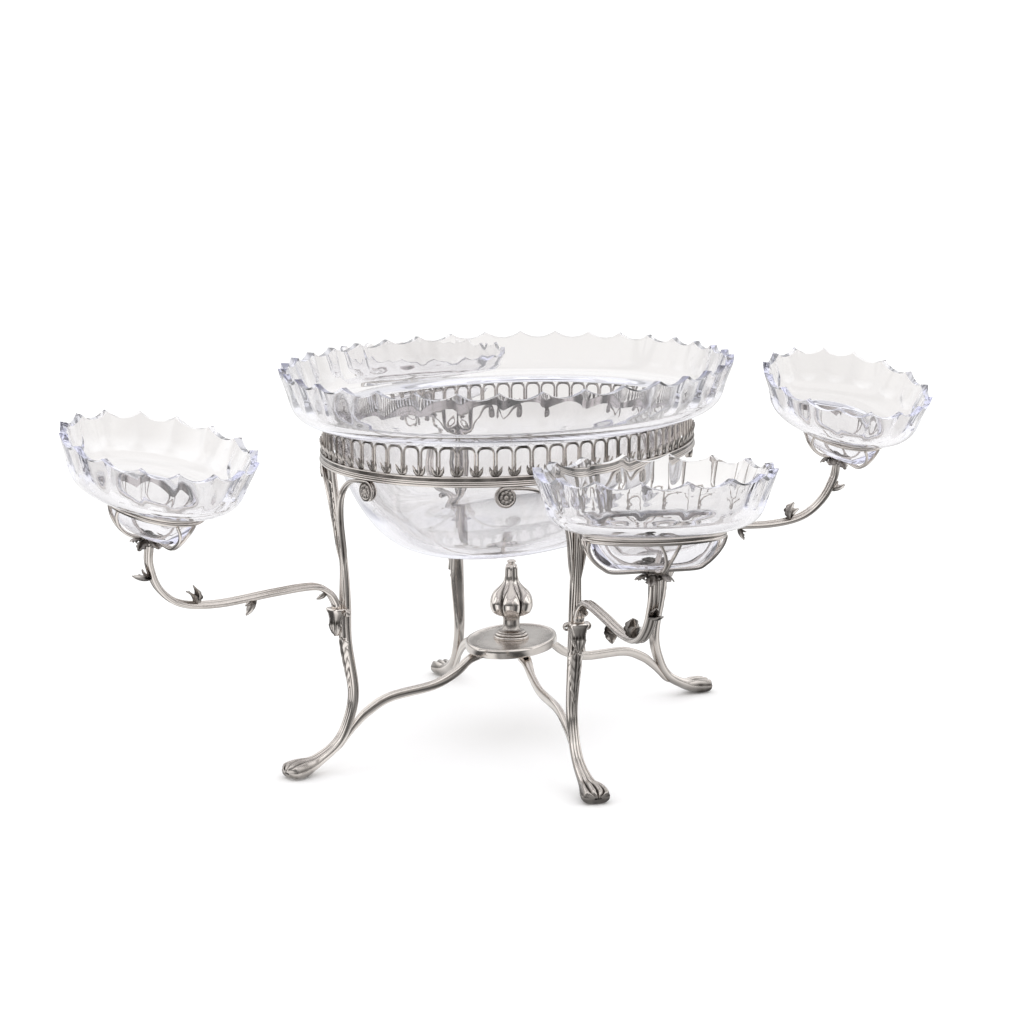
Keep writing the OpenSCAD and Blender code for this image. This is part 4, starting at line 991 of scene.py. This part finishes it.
class EPERGNE_OT_branches(bpy.types.Operator):
    """Build the branches with their leaves, calyxes, claws and dish rings"""
    bl_idname = "epergne.branches"
    bl_label = "Branches"

    def execute(self, context):
        silver, dark = silvers()
        for corner in CORNERS:
            calyx, claws, hoop = ([(bend(g, corner), ring, p) for g, ring, p in shells]
                                  for shells in (calyx_shells(), claw_shells(), [ring_shell()]))
            parts = [("branch_strap", branch_shells(corner), silver, "silver", "branch"),
                     ("leaves", branch_leaf_shells(corner), dark, "dark_silver", "branch_leaves"),
                     ("hub_leaves", calyx, dark, "dark_silver", "calyx"),
                     ("claws", claws, silver, "silver", "dish_claws"),
                     ("reeded_ring", hoop, silver, "silver", "dish_ring")]
            for name, shells, material, slot, node in parts:
                add_piece(f"{name}_{corner}", f"branch_{corner}", at_corner(shells, corner), material,
                          [f"{node}_{corner}"])
        return {"FINISHED"}


class EPERGNE_OT_glass(bpy.types.Operator):
    """Build the cut-glass bowl and dishes"""
    bl_idname = "epergne.glass"
    bl_label = "Glass"

    def execute(self, context):
        crystal = glass_material()
        add_piece("cut_bowl", "centre_bowl", [(centre_bowl_shell(), False, None)], crystal,
                  ["centre_bowl"], sharp=35)
        for corner in CORNERS:
            dish = to_corner(bend(dish_shell(), corner), corner)
            add_piece(f"cut_dish_{corner}", f"dish_{corner}", [(dish, False, None)], crystal,
                      [f"dish_{corner}"], sharp=20)
        return {"FINISHED"}


class EPERGNE_OT_stage(bpy.types.Operator):
    """Set the white floor, the room and the camera"""
    bl_idname = "epergne.stage"
    bl_label = "Stage"

    def execute(self, context):
        scene, stage = context.scene, context.scene.epergne_stage
        mesh = bpy.data.meshes.new("floor")
        mesh.from_pydata([(-9, -9, 0), (9, -9, 0), (9, 9, 0), (-9, 9, 0)], [], [(0, 1, 2, 3)])
        floor = bpy.data.objects.new("floor", mesh)
        scene.collection.objects.link(floor)
        floor.data.materials.append(floor_material())
        scene.world = room_world(stage.light)
        camera = bpy.data.objects.new("camera", bpy.data.cameras.new("camera"))
        camera.location = stage.location
        camera.rotation_euler = stage.rotation
        camera.data.lens = stage.lens
        camera.data.sensor_width = 36
        camera.data.clip_end = 50
        scene.collection.objects.link(camera)
        scene.camera = camera
        scene.view_settings.view_transform = "Standard"
        return {"FINISHED"}


class EPERGNE_PT_panel(bpy.types.Panel):
    """Settings and steps of the epergne"""
    bl_label = "Epergne"
    bl_idname = "EPERGNE_PT_panel"
    bl_space_type = "VIEW_3D"
    bl_region_type = "UI"
    bl_category = "Epergne"

    def draw(self, context):
        scene = context.scene
        for group in (scene.epergne_silver, scene.epergne_glass, scene.epergne_stage):
            box = self.layout.box()
            for name in group.__annotations__:
                box.prop(group, name)
        for step in STEPS:
            self.layout.operator(step.bl_idname)


GROUPS = (EpergneSilver, EpergneGlass, EpergneStage)
STEPS = (EPERGNE_OT_gallery, EPERGNE_OT_legs, EPERGNE_OT_base, EPERGNE_OT_branches, EPERGNE_OT_glass,
         EPERGNE_OT_stage)
CLASSES = (*GROUPS, *STEPS, EPERGNE_PT_panel)


def register():
    """Register the classes and hang the settings on the scene."""
    for cls in CLASSES:
        bpy.utils.register_class(cls)
    bpy.types.Scene.epergne_silver = PointerProperty(type=EpergneSilver)
    bpy.types.Scene.epergne_glass = PointerProperty(type=EpergneGlass)
    bpy.types.Scene.epergne_stage = PointerProperty(type=EpergneStage)


def unregister():
    """Take the settings off the scene and remove the classes."""
    del bpy.types.Scene.epergne_stage
    del bpy.types.Scene.epergne_glass
    del bpy.types.Scene.epergne_silver
    for cls in reversed(CLASSES):
        bpy.utils.unregister_class(cls)


def main():
    """Build every piece in order."""
    register()
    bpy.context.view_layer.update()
    bpy.ops.epergne.gallery()
    bpy.ops.epergne.legs()
    bpy.ops.epergne.base()
    bpy.ops.epergne.branches()
    bpy.ops.epergne.glass()
    bpy.ops.epergne.stage()


if __name__ == "__main__":
    main()
